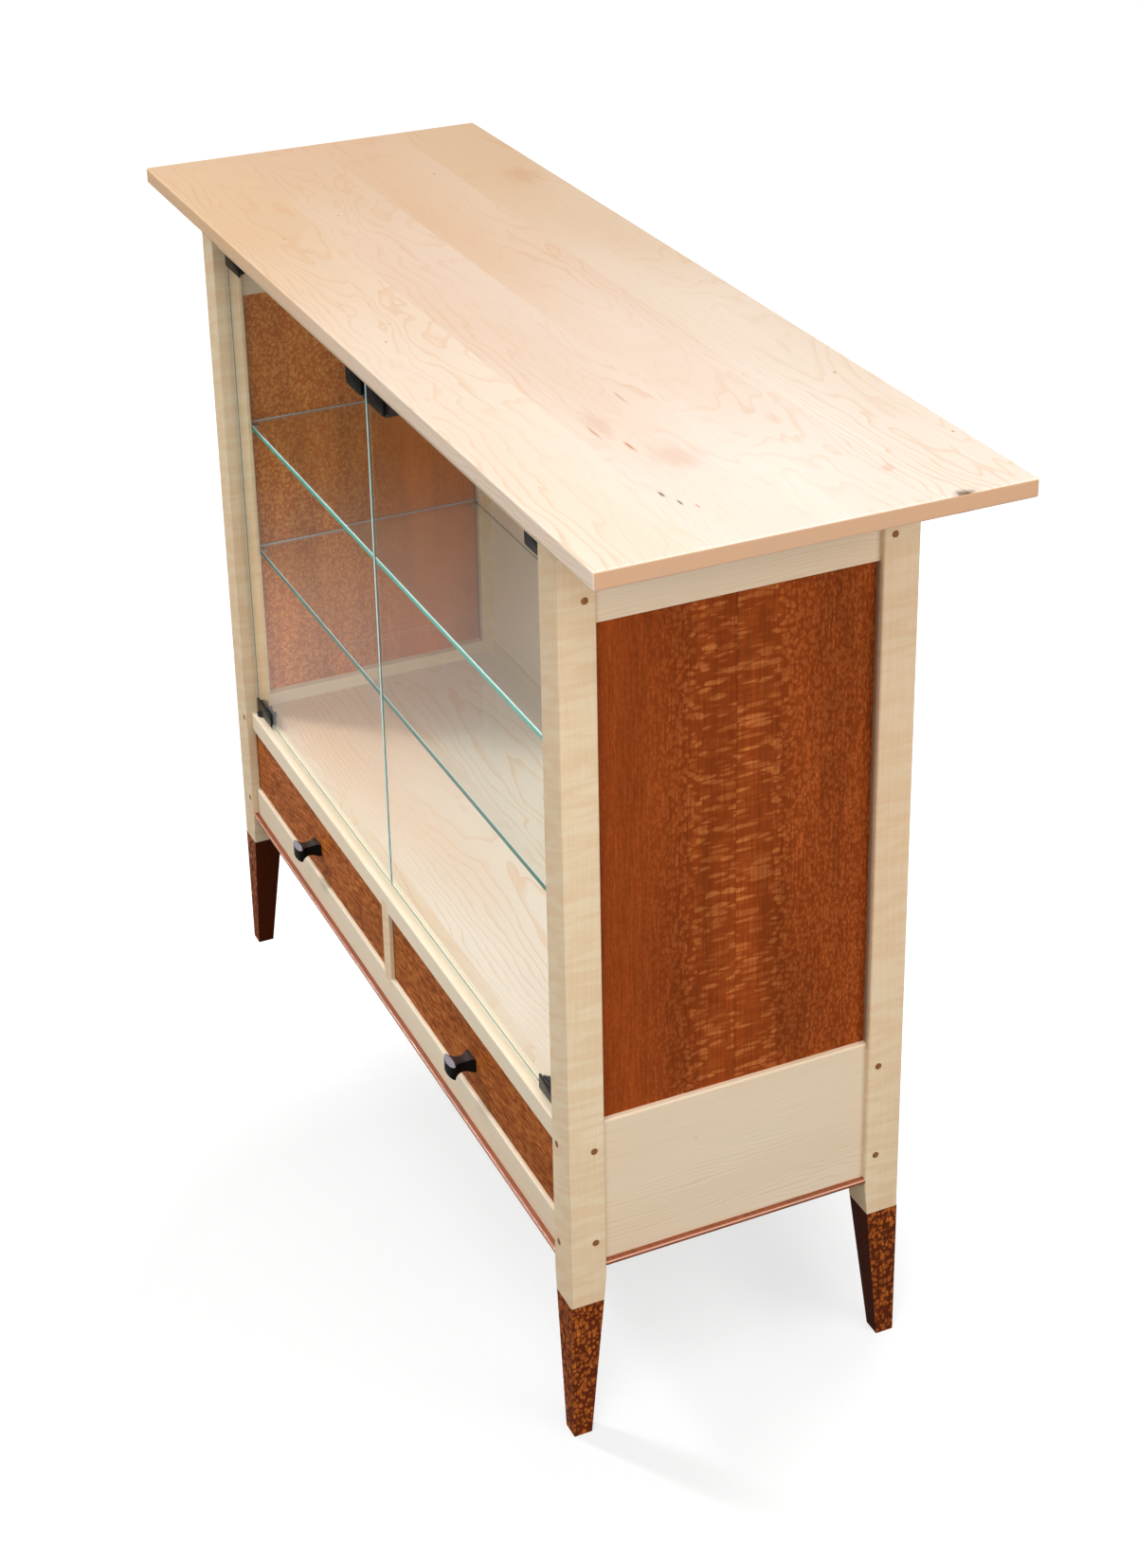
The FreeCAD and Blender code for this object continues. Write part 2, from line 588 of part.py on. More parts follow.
# Posts, each with its mortises, panel grooves, peg holes and the holes for the shelf pins.
for end_name, end in (("front", -1), ("back", 1)):
    for side_name, side in SIDES:
        corner_x, corner_y = inward(side, end, 0, 0)
        inner_x, inner_y = inward(side, end, S.post_side, S.post_side)
        narrow_x, narrow_y = inward(side, end, S.foot_joint_side, S.foot_joint_side)
        name = "post_" + end_name + "_" + side_name
        post = Piece(name, (corner_x, corner_y, S.foot_height))
        post.block(corner_x, inner_x, corner_y, inner_y, S.foot_height, S.rail_top)
        post.ease("Chamfer", S.post_arris, ("Z", corner_x, corner_y), ("Z", inner_x, inner_y),
                  ("Z", corner_x, inner_y), ("Z", inner_x, corner_y))
        post.cut("Y", corner_y, inner_y,
                 [(inner_x, S.taper_start), (inner_x, S.foot_height), (narrow_x, S.foot_height)])
        post.cut("X", corner_x, inner_x,
                 [(inner_y, S.taper_start), (inner_y, S.foot_height), (narrow_y, S.foot_height)])
        stub_low = (S.foot_joint_side - S.stub_side) / 2
        stub_x, stub_y = inward(side, end, stub_low, stub_low)
        stub_far_x, stub_far_y = inward(side, end, stub_low + S.stub_side, stub_low + S.stub_side)
        post.cut("Z", S.foot_height, S.foot_height + S.stub_length, rect(stub_x, stub_y, stub_far_x, stub_far_y))
        across = FRONT_JOINTS if end < 0 else BACK_JOINTS
        for low, high, peg_heights in across:
            post.cut("Z", low, high, tenon(side, end, "X"))
        for low, high, peg_heights in END_JOINTS:
            post.cut("Z", low, high, tenon(side, end, "Y"))
        groove_low = S.bottom_rail_top - S.panel_tongue
        groove_high = S.top_rail_bottom + S.panel_tongue
        near = inward(side, end, S.tenon_setback, S.post_side - S.panel_tongue)
        far = inward(side, end, S.tenon_inner, S.post_side)
        grooves = [rect(near[0], near[1], far[0], far[1])]
        if end > 0:
            near = inward(side, end, S.post_side - S.panel_tongue, S.tenon_setback)
            far = inward(side, end, S.post_side, S.tenon_inner)
            grooves.append(rect(near[0], near[1], far[0], far[1]))
        post.cut("Z", groove_low, groove_high, *grooves)
        peg_x, peg_y = inward(side, end, S.peg_inset, S.peg_inset)
        deep_x, deep_y = inward(side, end, S.tenon_inner, S.tenon_inner)
        post.cut("Y", corner_y, deep_y,
                 *[octagon(peg_x, height) for joint in across for height in joint[2]])
        post.cut("X", corner_x, deep_x,
                 *[octagon(peg_y, height) for joint in END_JOINTS for height in joint[2]])
        pin_x = inward(side, end, S.shelf_pin_inset, 0)[0]
        pin_y = inward(side, end, 0, S.post_side - S.shelf_pin_depth)[1]
        post.cut("Y", pin_y, inner_y,
                 *[disc(pin_x, shelf_pin_height(level), S.shelf_pin_radius) for level in SHELF_TOPS])
        keep(name, post)

        # The foot goes on with the taper and stands on a small square tip.
        name = "foot_" + end_name + "_" + side_name
        foot = Piece(name, (corner_x, corner_y, 0))
        tip_x, tip_y = inward(side, end, S.foot_tip, S.foot_tip)
        lower = foot.sketch("Z", 0, [rect(corner_x, corner_y, tip_x, tip_y)])
        upper = foot.sketch("Z", S.foot_height, [rect(corner_x, corner_y, narrow_x, narrow_y)])
        loft = foot.body.newObject("PartDesign::AdditiveLoft", name + "_loft")
        loft.Profile = lower
        loft.Sections = [upper]
        loft.Ruled = True
        foot.pad("Z", S.foot_height, S.foot_height + S.stub_length, rect(stub_x, stub_y, stub_far_x, stub_far_y))
        keep(name, foot)


def end_rail(name, side, low, high, joint):
    """A rail of an end frame, from post to post, with its two pegged tenons."""
    rail = Piece(name, (S.end_rail_face * side, S.front_inner, low))
    rail.block(S.end_rail_face * side, S.end_rail_inner * side, S.front_inner, S.back_inner, low, high)
    for end in (-1, 1):
        rail.pad("Z", joint[0], joint[1], tenon(side, end, "Y"))
        peg_y = inward(side, end, 0, S.peg_inset)[1]
        rail.cut("X", (S.half_length - S.tenon_setback) * side, (S.half_length - S.tenon_inner) * side,
                 *[octagon(peg_y, height) for height in joint[2]])
    return rail


# End frames: two rails, a panel that floats in their grooves, and a bead under the lower rail.
beads = []
for side_name, side in SIDES:
    groove = ((S.half_length - S.tenon_setback) * side, (S.half_length - S.tenon_inner) * side)
    upper = end_rail("end_top_rail_" + side_name, side, S.top_rail_bottom, S.rail_top, wide_top)
    upper.cut("Y", S.front_inner, S.back_inner,
              rect(groove[0], S.top_rail_bottom, groove[1], S.top_rail_bottom + S.panel_tongue))
    slot_low = S.rail_top - S.button_thickness
    upper.cut("X", S.end_rail_inner * side, (S.end_rail_inner + S.button_slot) * side,
              rect(-S.button_width, slot_low, S.button_width, slot_low + S.button_tongue_height))
    keep("end_top_rail_" + side_name, upper)

    lower = end_rail("end_bottom_rail_" + side_name, side, S.bead_top, S.bottom_rail_top, wide_bottom)
    lower.cut("Y", S.front_inner, S.back_inner,
              rect(groove[0], S.bottom_rail_top - S.panel_tongue, groove[1], S.bottom_rail_top))
    lower.cut("Y", S.front_inner, S.back_inner,
              rect(S.end_rail_inner * side, S.tongue_bottom,
                   (S.end_rail_inner + S.tongue_reach) * side, S.tongue_top))
    lower.ease("Fillet", S.rail_easing, ("Y", S.end_rail_face * side, S.bottom_rail_top))
    keep("end_bottom_rail_" + side_name, lower)

    panel = Piece("end_panel_" + side_name,
                  (groove[0], S.front_inner - S.panel_tongue, S.bottom_rail_top - S.panel_tongue))
    panel.block(groove[0], groove[1], S.front_inner - S.panel_tongue + S.panel_play,
                S.back_inner + S.panel_tongue - S.panel_play, S.bottom_rail_top - S.panel_tongue,
                S.top_rail_bottom + S.panel_tongue - S.panel_play)
    keep("end_panel_" + side_name, panel)

    bead = Piece("end_bead_" + side_name, (S.half_length * side, S.front_inner, S.bead_bottom))
    bead.block(S.half_length * side, (S.half_length - S.bead_depth) * side, S.front_inner, S.back_inner,
               S.bead_bottom, S.bead_top)
    bead.ease("Fillet", S.bead_nose, ("Y", S.half_length * side, S.bead_bottom),
              ("Y", S.half_length * side, S.bead_top))
    beads.append(bead.body)


def long_rail(name, end, faces, low, high, joint):
    """A rail along the front or the back, with its two pegged tenons."""
    rail = Piece(name, (-S.post_inner, faces[0], low))
    rail.block(-S.post_inner, S.post_inner, faces[0], faces[1], low, high)
    for side in (-1, 1):
        rail.pad("Z", joint[0], joint[1], tenon(side, end, "X"))
    tenon_near = inward(1, end, 0, S.tenon_setback)[1]
    tenon_far = inward(1, end, 0, S.tenon_inner)[1]
    rail.cut("Y", tenon_near, tenon_far,
             *[octagon((S.half_length - S.peg_inset) * side, height)
               for side in (-1, 1) for height in joint[2]])
    return rail


def lap(edge, toward):
    """Outline of the divider's lapped dovetail on the front, from a rail's edge into the rail."""
    tip = edge + S.lap_length * toward
    return [(-S.lap_root / 2, edge), (S.lap_root / 2, edge), (S.lap_end / 2, tip), (-S.lap_end / 2, tip)]


# Front frame: bead, lower rail, sill, divider and the rail over the doors.
bead = Piece("front_bead", (-S.post_inner, S.front_face, S.bead_bottom))
bead.block(-S.post_inner, S.post_inner, S.front_face, S.front_face + S.bead_depth, S.bead_bottom, S.bead_top)
bead.ease("Fillet", S.bead_nose, ("X", S.front_face, S.bead_bottom), ("X", S.front_face, S.bead_top))
beads.append(bead.body)
group("beads", beads)

lap_back = S.front_rail_face + S.lap_depth
lower_rail = long_rail("front_lower_rail", -1, (S.front_rail_face, S.front_rail_back),
                       S.bead_top, S.lower_rail_top, under_drawers)
lower_rail.ease("Fillet", S.rail_easing, ("X", S.front_rail_face, S.lower_rail_top))
lower_rail.cut("Y", S.front_rail_face, lap_back, lap(S.lower_rail_top, -1))
keep("front_lower_rail", lower_rail)

sill = long_rail("sill_rail", -1, (S.front_rail_face, S.sill_back), S.sill_bottom, S.sill_top, under_doors)
sill.ease("Fillet", S.rail_easing, ("X", S.front_rail_face, S.sill_top))
sill.cut("Y", S.front_rail_face, lap_back, lap(S.sill_bottom, 1))
sill.cut("Y", S.sill_back - S.tongue_reach, S.sill_back,
         rect(-S.post_inner, S.tongue_bottom, S.post_inner, S.tongue_top))
sill.cut("Z", S.sill_top - S.bush_depth, S.sill_top,
         *[disc(S.pivot_x * side, S.pivot_y, S.bush_radius) for side in (-1, 1)])
keep("sill_rail", sill)

divider = Piece("drawer_divider", (-S.divider_half, S.front_rail_face, S.lower_rail_top))
divider.block(-S.divider_half, S.divider_half, S.front_rail_face, S.front_rail_back,
              S.lower_rail_top, S.sill_bottom)
divider.pad("Y", S.front_rail_face, lap_back, lap(S.lower_rail_top, -1))
divider.pad("Y", S.front_rail_face, lap_back, lap(S.sill_bottom, 1))
keep("drawer_divider", divider)

top_rail = long_rail("front_top_rail", -1, (S.front_rail_face, S.front_rail_back),
                     S.front_top_rail_bottom, S.rail_top, over_doors)
top_rail.cut("Z", S.front_top_rail_bottom, S.front_top_rail_bottom + S.bush_depth,
             *[disc(S.pivot_x * side, S.pivot_y, S.bush_radius) for side in (-1, 1)])
slot_low = S.rail_top - S.button_thickness
slots = [rect(S.button_offset * side - S.button_width, slot_low,
              S.button_offset * side + S.button_width, slot_low + S.button_tongue_height) for side in (-1, 1)]
top_rail.cut("Y", S.front_rail_back - S.button_slot, S.front_rail_back, *slots)
keep("front_top_rail", top_rail)

# Back frame: two wide rails with a plain panel between them.
back_top = long_rail("back_top_rail", 1, (S.back_rail_face, S.back_rail_front),
                     S.top_rail_bottom, S.rail_top, wide_top)
back_groove = (S.back_face - S.tenon_setback, S.back_face - S.tenon_inner)
back_top.cut("X", -S.post_inner, S.post_inner,
             rect(back_groove[0], S.top_rail_bottom, back_groove[1], S.top_rail_bottom + S.panel_tongue))
back_top.cut("Y", S.back_rail_front, S.back_rail_front + S.button_slot, *slots)
keep("back_top_rail", back_top)

back_bottom = long_rail("back_bottom_rail", 1, (S.back_rail_face, S.back_rail_front),
                        S.bead_top, S.bottom_rail_top, wide_bottom)
back_bottom.cut("X", -S.post_inner, S.post_inner,
                rect(back_groove[0], S.bottom_rail_top - S.panel_tongue,
                     back_groove[1], S.bottom_rail_top))
back_bottom.cut("Y", S.back_rail_front, S.back_rail_front + S.tongue_reach,
                rect(-S.post_inner, S.tongue_bottom, S.post_inner, S.tongue_top))
keep("back_bottom_rail", back_bottom)

panel_edge = S.post_inner + S.panel_tongue - S.panel_play
back_panel = Piece("back_panel", (-panel_edge, back_groove[1], S.bottom_rail_top - S.panel_tongue))
back_panel.block(-panel_edge, panel_edge, back_groove[1], back_groove[0],
                 S.bottom_rail_top - S.panel_tongue, S.top_rail_bottom + S.panel_tongue - S.panel_play)
keep("back_panel", back_panel)


def notched(x_wide, x_narrow, y_front, y_notch_front, y_notch_back, y_back):
    """A board in plan whose four corners are notched round the posts."""
    return [(-x_narrow, y_front), (x_narrow, y_front), (x_narrow, y_notch_front), (x_wide, y_notch_front),
            (x_wide, y_notch_back), (x_narrow, y_notch_back), (x_narrow, y_back), (-x_narrow, y_back),
            (-x_narrow, y_notch_back), (-x_wide, y_notch_back), (-x_wide, y_notch_front),
            (-x_narrow, y_notch_front)]


# Floor of the glazed space, level with the sill, tongued into the rails all round.
floor_panel = Piece("floor_panel", (-S.end_rail_inner, S.sill_back, S.floor_bottom))
clear_x = S.post_inner - S.case_play
clear_front = S.front_inner + S.case_play
clear_back = S.back_inner - S.case_play
floor_panel.pad("Z", S.floor_bottom, S.floor_top,
                notched(S.end_rail_inner, clear_x, S.sill_back, clear_front, clear_back, S.back_rail_front))
reach = S.tongue_reach - S.case_play
floor_panel.pad("Z", S.tongue_bottom, S.tongue_top,
                notched(S.end_rail_inner + reach, clear_x, S.sill_back - reach, clear_front, clear_back,
                        S.back_rail_front + reach))
keep("floor_panel", floor_panel)

# Two glass shelves, each lying on four pins that stand in the posts.
shelf_x = S.half_length - S.tenon_inner - S.shelf_end_play
pins = []
for shelf_name, level in (("shelf_upper", S.upper_shelf_top), ("shelf_lower", S.lower_shelf_top)):
    shelf = Piece(shelf_name, (-shelf_x, clear_front, level - S.shelf_thickness))
    shelf.block(-shelf_x, shelf_x, clear_front, clear_back, level - S.shelf_thickness, level)
    keep(shelf_name, shelf)
    for end in (-1, 1):
        for side_name, side in SIDES:
            pin_x, pin_y = inward(side, end, S.shelf_pin_inset, S.post_side - S.shelf_pin_depth)
            pins.append(rod(shelf_name + "_pin", pin_x, pin_y, shelf_pin_height(level), (0, -end, 0),
                            S.shelf_pin_depth + S.shelf_pin_reach, S.shelf_pin_radius))
group("shelf_pins", pins)

# Double touch latch on a block behind the rail over the doors.
latch_back = S.latch_face + S.latch_length
block_back = S.front_rail_back + S.block_length
block = Piece("latch_block", (-S.block_width / 2, S.front_rail_back, S.front_top_rail_bottom))
block.block(-S.block_width / 2, S.block_width / 2, S.front_rail_back, block_back,
            S.front_top_rail_bottom, S.rail_top)
latch_screw_y = (S.front_rail_back + latch_back) / 2
latch_holes = [disc(S.latch_screw_spacing / 2 * side, latch_screw_y, S.shank_radius) for side in (-1, 1)]
screw_top = S.front_top_rail_bottom + S.pull_screw_reach
block.cut("Z", S.front_top_rail_bottom, screw_top, *latch_holes)
keep("latch_block", block)

latch = Piece("latch_body", (-S.latch_width / 2, S.latch_face, S.latch_bottom))
latch.block(-S.latch_width / 2, S.latch_width / 2, S.latch_face, latch_back,
            S.latch_bottom, S.front_top_rail_bottom)
latch.ease("Fillet", S.rail_easing, ("Z", -S.latch_width / 2, S.latch_face), ("Z", S.latch_width / 2, S.latch_face),
           ("Z", -S.latch_width / 2, latch_back), ("Z", S.latch_width / 2, latch_back))
plunger_radius = S.plunger_diameter / 2
latch.cut("Y", S.latch_face, S.latch_face + S.plunger_bore_depth,
          *[disc(S.strike_centre * side, S.plunger_height, plunger_radius + S.pin_play) for side in (-1, 1)])
latch.cut("Z", S.latch_bottom, S.front_top_rail_bottom, *latch_holes)
latch.cut("Z", S.latch_bottom, S.latch_bottom + S.screw_head_height,
          *[disc(S.latch_screw_spacing / 2 * side, latch_screw_y, S.screw_head / 2) for side in (-1, 1)])
keep("latch_body", latch)
for side_name, side in SIDES:
    name = "latch_plunger_" + side_name
    tip = plunger_radius - S.plunger_step
    keep(name, turned(name, (S.strike_centre * side, S.plunger_tip, S.plunger_height), (0, 1, 0), [
        (0, 0), (tip, 0), (tip, S.plunger_tip_length), (plunger_radius, S.plunger_tip_length),
        (plunger_radius, S.plunger_length), (0, S.plunger_length)]))

# Buttons slide in slots of the rails and are screwed up into the top, so that it can move.
buttons = []
carcase_screws = []
for number, place in enumerate(button_places):
    face, into, middle = button_frame(place)
    low = S.rail_top - S.button_thickness
    outline = [(face - S.button_tongue * into, low), (face + S.button_length * into, low),
               (face + S.button_length * into, S.rail_top), (face, S.rail_top),
               (face, low + S.button_tongue_height), (face - S.button_tongue * into, low + S.button_tongue_height)]
    centre = face + S.button_length / 2 * into
    half = S.button_width / 2
    name = "top_button_" + str(number + 1)
    if place[2] == "X":
        button = Piece(name, (face, middle - half, low))
        button.pad("Y", middle - half, middle + half, outline)
        spot = (centre, middle)
    else:
        button = Piece(name, (middle - half, face, low))
        button.pad("X", middle - half, middle + half, outline)
        spot = (middle, centre)
    button.cut("Z", low, S.rail_top, disc(spot[0], spot[1], S.shank_radius))
    buttons.append(button.body)
    carcase_screws.append(screw("top_screw", spot[0], spot[1], low, (0, 0, 1),
                                S.button_thickness + S.button_screw_reach))
group("top_buttons", buttons)
for side_name, side in SIDES:
    seat = S.latch_bottom + S.screw_head_height
    carcase_screws.append(screw("latch_screw", S.latch_screw_spacing / 2 * side, latch_screw_y, seat, (0, 0, 1),
                                screw_top - seat))
group("carcase_screws", carcase_screws)

# Pegs, one or two through each tenon, cut flush with the posts.
pegs = []
for end in (-1, 1):
    for side_name, side in SIDES:
        corner_x, corner_y = inward(side, end, 0, 0)
        peg_x, peg_y = inward(side, end, S.peg_inset, S.peg_inset)
        deep_x, deep_y = inward(side, end, S.tenon_inner, S.tenon_inner)
        for joint in (FRONT_JOINTS if end < 0 else BACK_JOINTS):
            for height in joint[2]:
                peg = Piece("peg", (peg_x, corner_y, height))
                peg.pad("Y", corner_y, deep_y, octagon(peg_x, height))
                pegs.append(peg.body)
        for joint in END_JOINTS:
            for height in joint[2]:
                peg = Piece("peg", (corner_x, peg_y, height))
                peg.pad("X", corner_x, deep_x, octagon(peg_y, height))
                pegs.append(peg.body)
group("joint_pegs", pegs)

# Bushes for the door pivots, in the sill and in the rail over the doors.
bushes = []
for side_name, side in SIDES:
    for low, direction, flange in ((S.sill_top, 1, S.clamp_low - S.sill_top - S.bush_gap),
                                   (S.front_top_rail_bottom, -1,
                                    S.front_top_rail_bottom - S.clamp_high - S.bush_gap)):
        hole = S.pin_radius + S.pin_play
        rim = S.bush_radius + S.bush_flange
        bushes.append(turned("pivot_bush", (S.pivot_x * side, S.pivot_y, low), (0, 0, direction), [
            (hole, -S.bush_depth), (S.bush_radius, -S.bush_depth), (S.bush_radius, 0), (rim, 0),
            (rim, flange), (hole, flange)]))
group("pivot_bushes", bushes)

# Frameless glass doors on pivot clamps, each with a strike clip that the latch pushes on.
for side_name, side in SIDES:
    start = "door_" + side_name + "_"
    outer = S.glass_outer * side
    inner = S.glass_gap / 2 * side
    glass = Piece(start + "glass", (outer, S.glass_face, S.glass_bottom))
    glass.block(outer, inner, S.glass_face, S.glass_back, S.glass_bottom, S.glass_top)
    keep(start + "glass", glass)

    clamps = []
    door_pins = []
    door_screws = []
    front = S.glass_face - S.clamp_front
    back = S.glass_back + S.clamp_back
    clamp_end = outer - S.clamp_length * side
    for level, edge, direction in (("lower", S.glass_bottom, 1), ("upper", S.glass_top, -1)):
        outside = edge - S.clamp_web * direction
        reach = edge + S.clamp_reach * direction
        clamp = Piece(start + level + "_clamp", (outer, front, outside))
        clamp.pad("X", outer, clamp_end, [
            (front, outside), (back, outside), (back, reach), (S.glass_back, reach), (S.glass_back, edge),
            (S.glass_face, edge), (S.glass_face, reach), (front, reach)])
        clamp.cut("Z", outside, edge, disc(S.pivot_x * side, S.pivot_y, S.pin_radius))
        screw_z = edge + S.clamp_screw_rise * direction
        clamp_middle = outer - S.clamp_length / 2 * side
        places = [clamp_middle + S.clamp_screw_pitch * step for step in (-1, 0, 1)]
        clamp.cut("Y", S.glass_back, back, *[disc(x, screw_z, S.clamp_screw_diameter / 2) for x in places])
        clamps.append(clamp.body)
        face = S.sill_top if direction > 0 else S.front_top_rail_bottom
        bottom = face - S.pin_reach * direction
        door_pins.append(rod("pivot_pin", S.pivot_x * side, S.pivot_y, bottom, (0, 0, direction),
                             (edge - bottom) * direction, S.pin_radius))
        for x in places:
            door_screws.append(rod("clamp_screw", x, S.glass_back, screw_z, (0, 1, 0),
                                   S.clamp_back + S.clamp_screw_stand, S.clamp_screw_diameter / 2))
    group(start + "clamps", clamps)
    group(start + "pivot_pins", door_pins)
    group(start + "clamp_screws", door_screws)

    near = (S.strike_centre - S.strike_length / 2) * side
    far = (S.strike_centre + S.strike_length / 2) * side
    low = S.glass_top - S.strike_reach
    high = S.glass_top + S.strike_web
    strike = Piece(start + "strike", (near, front, low))
    strike.pad("X", near, far, [
        (front, high), (front, low), (S.glass_face, low), (S.glass_face, S.glass_top),
        (S.glass_back, S.glass_top), (S.glass_back, low), (S.glass_back + S.strike_web, low),
        (S.glass_back + S.strike_web, high)])
    keep(start + "strike", strike)


def tails(count, low, high, root, end):
    """Dovetails on the end of a drawer side, as outlines in the side's own plane, from low to high."""
    outlines = []
    pitch = (high - low) / count
    for number in range(count):
        middle = low + pitch * (number + 0.5)
        wide = pitch * S.tail_share / 2
        narrow = wide - (end - root) / S.dovetail_slope
        if end.value < root.value:
            narrow = wide + (end - root) / S.dovetail_slope
        outlines.append([(root, middle - narrow), (end, middle - wide), (end, middle + wide),
                         (root, middle + narrow)])
    return outlines


# Two drawers: leopardwood fronts, dovetailed maple boxes and carved pulls.
tail_start = S.drawer_front_back - S.half_blind_length
back_front = S.drawer_end - S.drawer_side_thickness
front_tails = tails(3, S.side_low, S.drawer_side_top, S.drawer_front_back, tail_start)
back_tails = tails(2, S.box_floor, S.drawer_side_top, back_front, S.drawer_end)
pull_low = S.pull_middle - S.pull_height / 2
pull_high = S.pull_middle + S.pull_height / 2
for side_name, side in SIDES:
    start = "drawer_" + side_name + "_"
    ends = ((S.drawer_inner * side, 1), (S.drawer_outer * side, -1))
    thick = S.drawer_side_thickness
    screw_x = S.drawer_middle * side

    front = Piece(start + "front", (ends[0][0], S.drawer_face, S.drawer_low))
    front.block(ends[0][0], ends[1][0], S.drawer_face, S.drawer_front_back, S.drawer_low, S.drawer_high)
    for edge, into in ends:
        front.cut("X", edge, edge + thick * into * side, *front_tails)
    inner_edges = [edge + thick * into * side for edge, into in ends]
    front.cut("X", inner_edges[0], inner_edges[1],
              rect(S.drawer_front_back - S.drawer_groove, S.box_low, S.drawer_front_back, S.box_floor))
    front.cut("Y", S.drawer_face, S.drawer_front_back, disc(screw_x, S.pull_middle, S.shank_radius))
    keep(start + "front", front)

    boards = []
    for edge, into in ends:
        board = Piece(start + "side", (edge, S.drawer_front_back, S.side_low))
        outline = [(S.drawer_front_back, S.side_low), (S.drawer_end, S.side_low), (S.drawer_end, S.box_floor),
                   (back_front, S.box_floor)]
        for tail in back_tails:
            outline += tail
        outline += [(back_front, S.drawer_side_top), (S.drawer_front_back, S.drawer_side_top)]
        for tail in reversed(front_tails):
            outline += list(reversed(tail))
        inner = edge + thick * into * side
        board.pad("X", edge, inner, outline)
        board.cut("X", inner - S.drawer_groove * into * side, inner,
                  rect(S.drawer_front_back - S.drawer_groove, S.box_low, S.drawer_end, S.box_floor))
        boards.append(board.body)
    group(start + "sides", boards)

    back = Piece(start + "back", (ends[0][0], back_front, S.box_floor))
    back.block(ends[0][0], ends[1][0], back_front, S.drawer_end, S.box_floor,
               S.drawer_side_top - S.drawer_back_drop)
    for edge, into in ends:
        back.cut("X", edge, edge + thick * into * side, *back_tails)
    keep(start + "back", back)

    groove_ends = [inner_edges[0] - (S.drawer_groove - S.panel_play) * side,
                   inner_edges[1] + (S.drawer_groove - S.panel_play) * side]
    bottom = Piece(start + "bottom", (groove_ends[0], S.drawer_front_back, S.box_low))
    bottom.block(groove_ends[0], groove_ends[1], S.drawer_front_back - S.drawer_groove, S.drawer_end,
                 S.box_low, S.box_floor)
    keep(start + "bottom", bottom)

    # The pull is sawn to a waisted outline in plan, then hollowed over and under the waist.
    shoulder = S.drawer_face - S.pull_shoulder
    tip = S.drawer_face - S.pull_reach
    base_half = S.pull_base / 2
    waist_half = S.pull_waist / 2
    head_half = S.pull_head / 2
    waist_y = S.drawer_face - S.pull_waist_reach
    near_rise = base_half - waist_half
    near_run = S.drawer_face - waist_y
    near_radius = (near_rise * near_rise + near_run * near_run) / (near_rise * 2)
    crown = shoulder - tip
    head_radius = (head_half * head_half + crown * crown) / (crown * 2)
    pull = Piece(start + "pull", (screw_x, S.drawer_face, pull_low))
    pull.pad("Z", pull_low, pull_high, [
        (screw_x - base_half, S.drawer_face), (screw_x + base_half, S.drawer_face, near_radius),
        (screw_x + waist_half, waist_y, S.pull_flare), (screw_x + head_half, shoulder, -head_radius),
        (screw_x - head_half, shoulder, S.pull_flare), (screw_x - waist_half, waist_y, near_radius)])
    cove_rise = S.pull_cove_radius - S.pull_cove_depth
    pull.cut("X", screw_x - S.pull_head, screw_x + S.pull_head,
             disc(waist_y, pull_high + cove_rise, S.pull_cove_radius),
             disc(waist_y, pull_low - cove_rise, S.pull_cove_radius))
    pull.cut("Y", S.drawer_face - S.pull_screw_reach, S.drawer_face,
             disc(screw_x, S.pull_middle, S.shank_radius))
    keep(start + "pull", pull)
    keep(start + "pull_screw", screw(start + "pull_screw", screw_x, S.drawer_front_back, S.pull_middle,
                                     (0, -1, 0), S.drawer_front_thickness + S.pull_screw_reach))

# What the drawers slide on and between, under the floor.
runner_low = S.lower_rail_top - S.runner_thickness
runners = []
kickers = []
stops = []


def strip(name, x0, x1, y0, y1, z0, z1):
    """A plain strip of wood."""
    piece = Piece(name, (x0, y0, z0))
    piece.block(x0, x1, y0, y1, z0, z1)
    return piece.body


kick_low = S.drawer_side_top + S.kicker_gap
for side_name, side in SIDES:
    rail_x = S.post_inner * side
    runner_x = (S.post_inner - S.runner_width) * side
    runners.append(strip("end_runner", runner_x, rail_x, S.front_rail_back, S.back_rail_front,
                         runner_low, S.lower_rail_top))
    runners.append(strip("end_guide", rail_x, S.end_rail_inner * side, S.front_inner, S.back_inner,
                         runner_low, S.lower_rail_top + S.guide_height))
    kickers.append(strip("end_kicker", runner_x, rail_x, S.front_rail_back, S.back_rail_front,
                         kick_low, S.floor_bottom))
    stops.append(strip("outer_stop", runner_x, rail_x, S.back_rail_front - S.stop_thickness, S.back_rail_front,
                       S.lower_rail_top, S.lower_rail_top + S.stop_height))
    stops.append(strip("inner_stop", S.drawer_inner * side, (S.drawer_inner + S.runner_width) * side,
                       S.back_rail_front - S.stop_thickness, S.back_rail_front,
                       S.lower_rail_top, S.lower_rail_top + S.stop_height))
middle_half = S.drawer_inner + S.runner_width
runners.append(strip("middle_runner", -middle_half, middle_half, S.front_rail_back, S.back_rail_front,
                     runner_low, S.lower_rail_top))
runners.append(strip("middle_guide", -S.divider_half, S.divider_half, S.front_rail_back, S.back_rail_front,
                     S.lower_rail_top, S.lower_rail_top + S.guide_height))
kickers.append(strip("middle_kicker", -middle_half, middle_half, S.front_rail_back, S.back_rail_front,
                     kick_low, S.floor_bottom))
group("drawer_runners", runners)
group("drawer_kickers", kickers)
group("drawer_stops", stops)

doc.recompute()

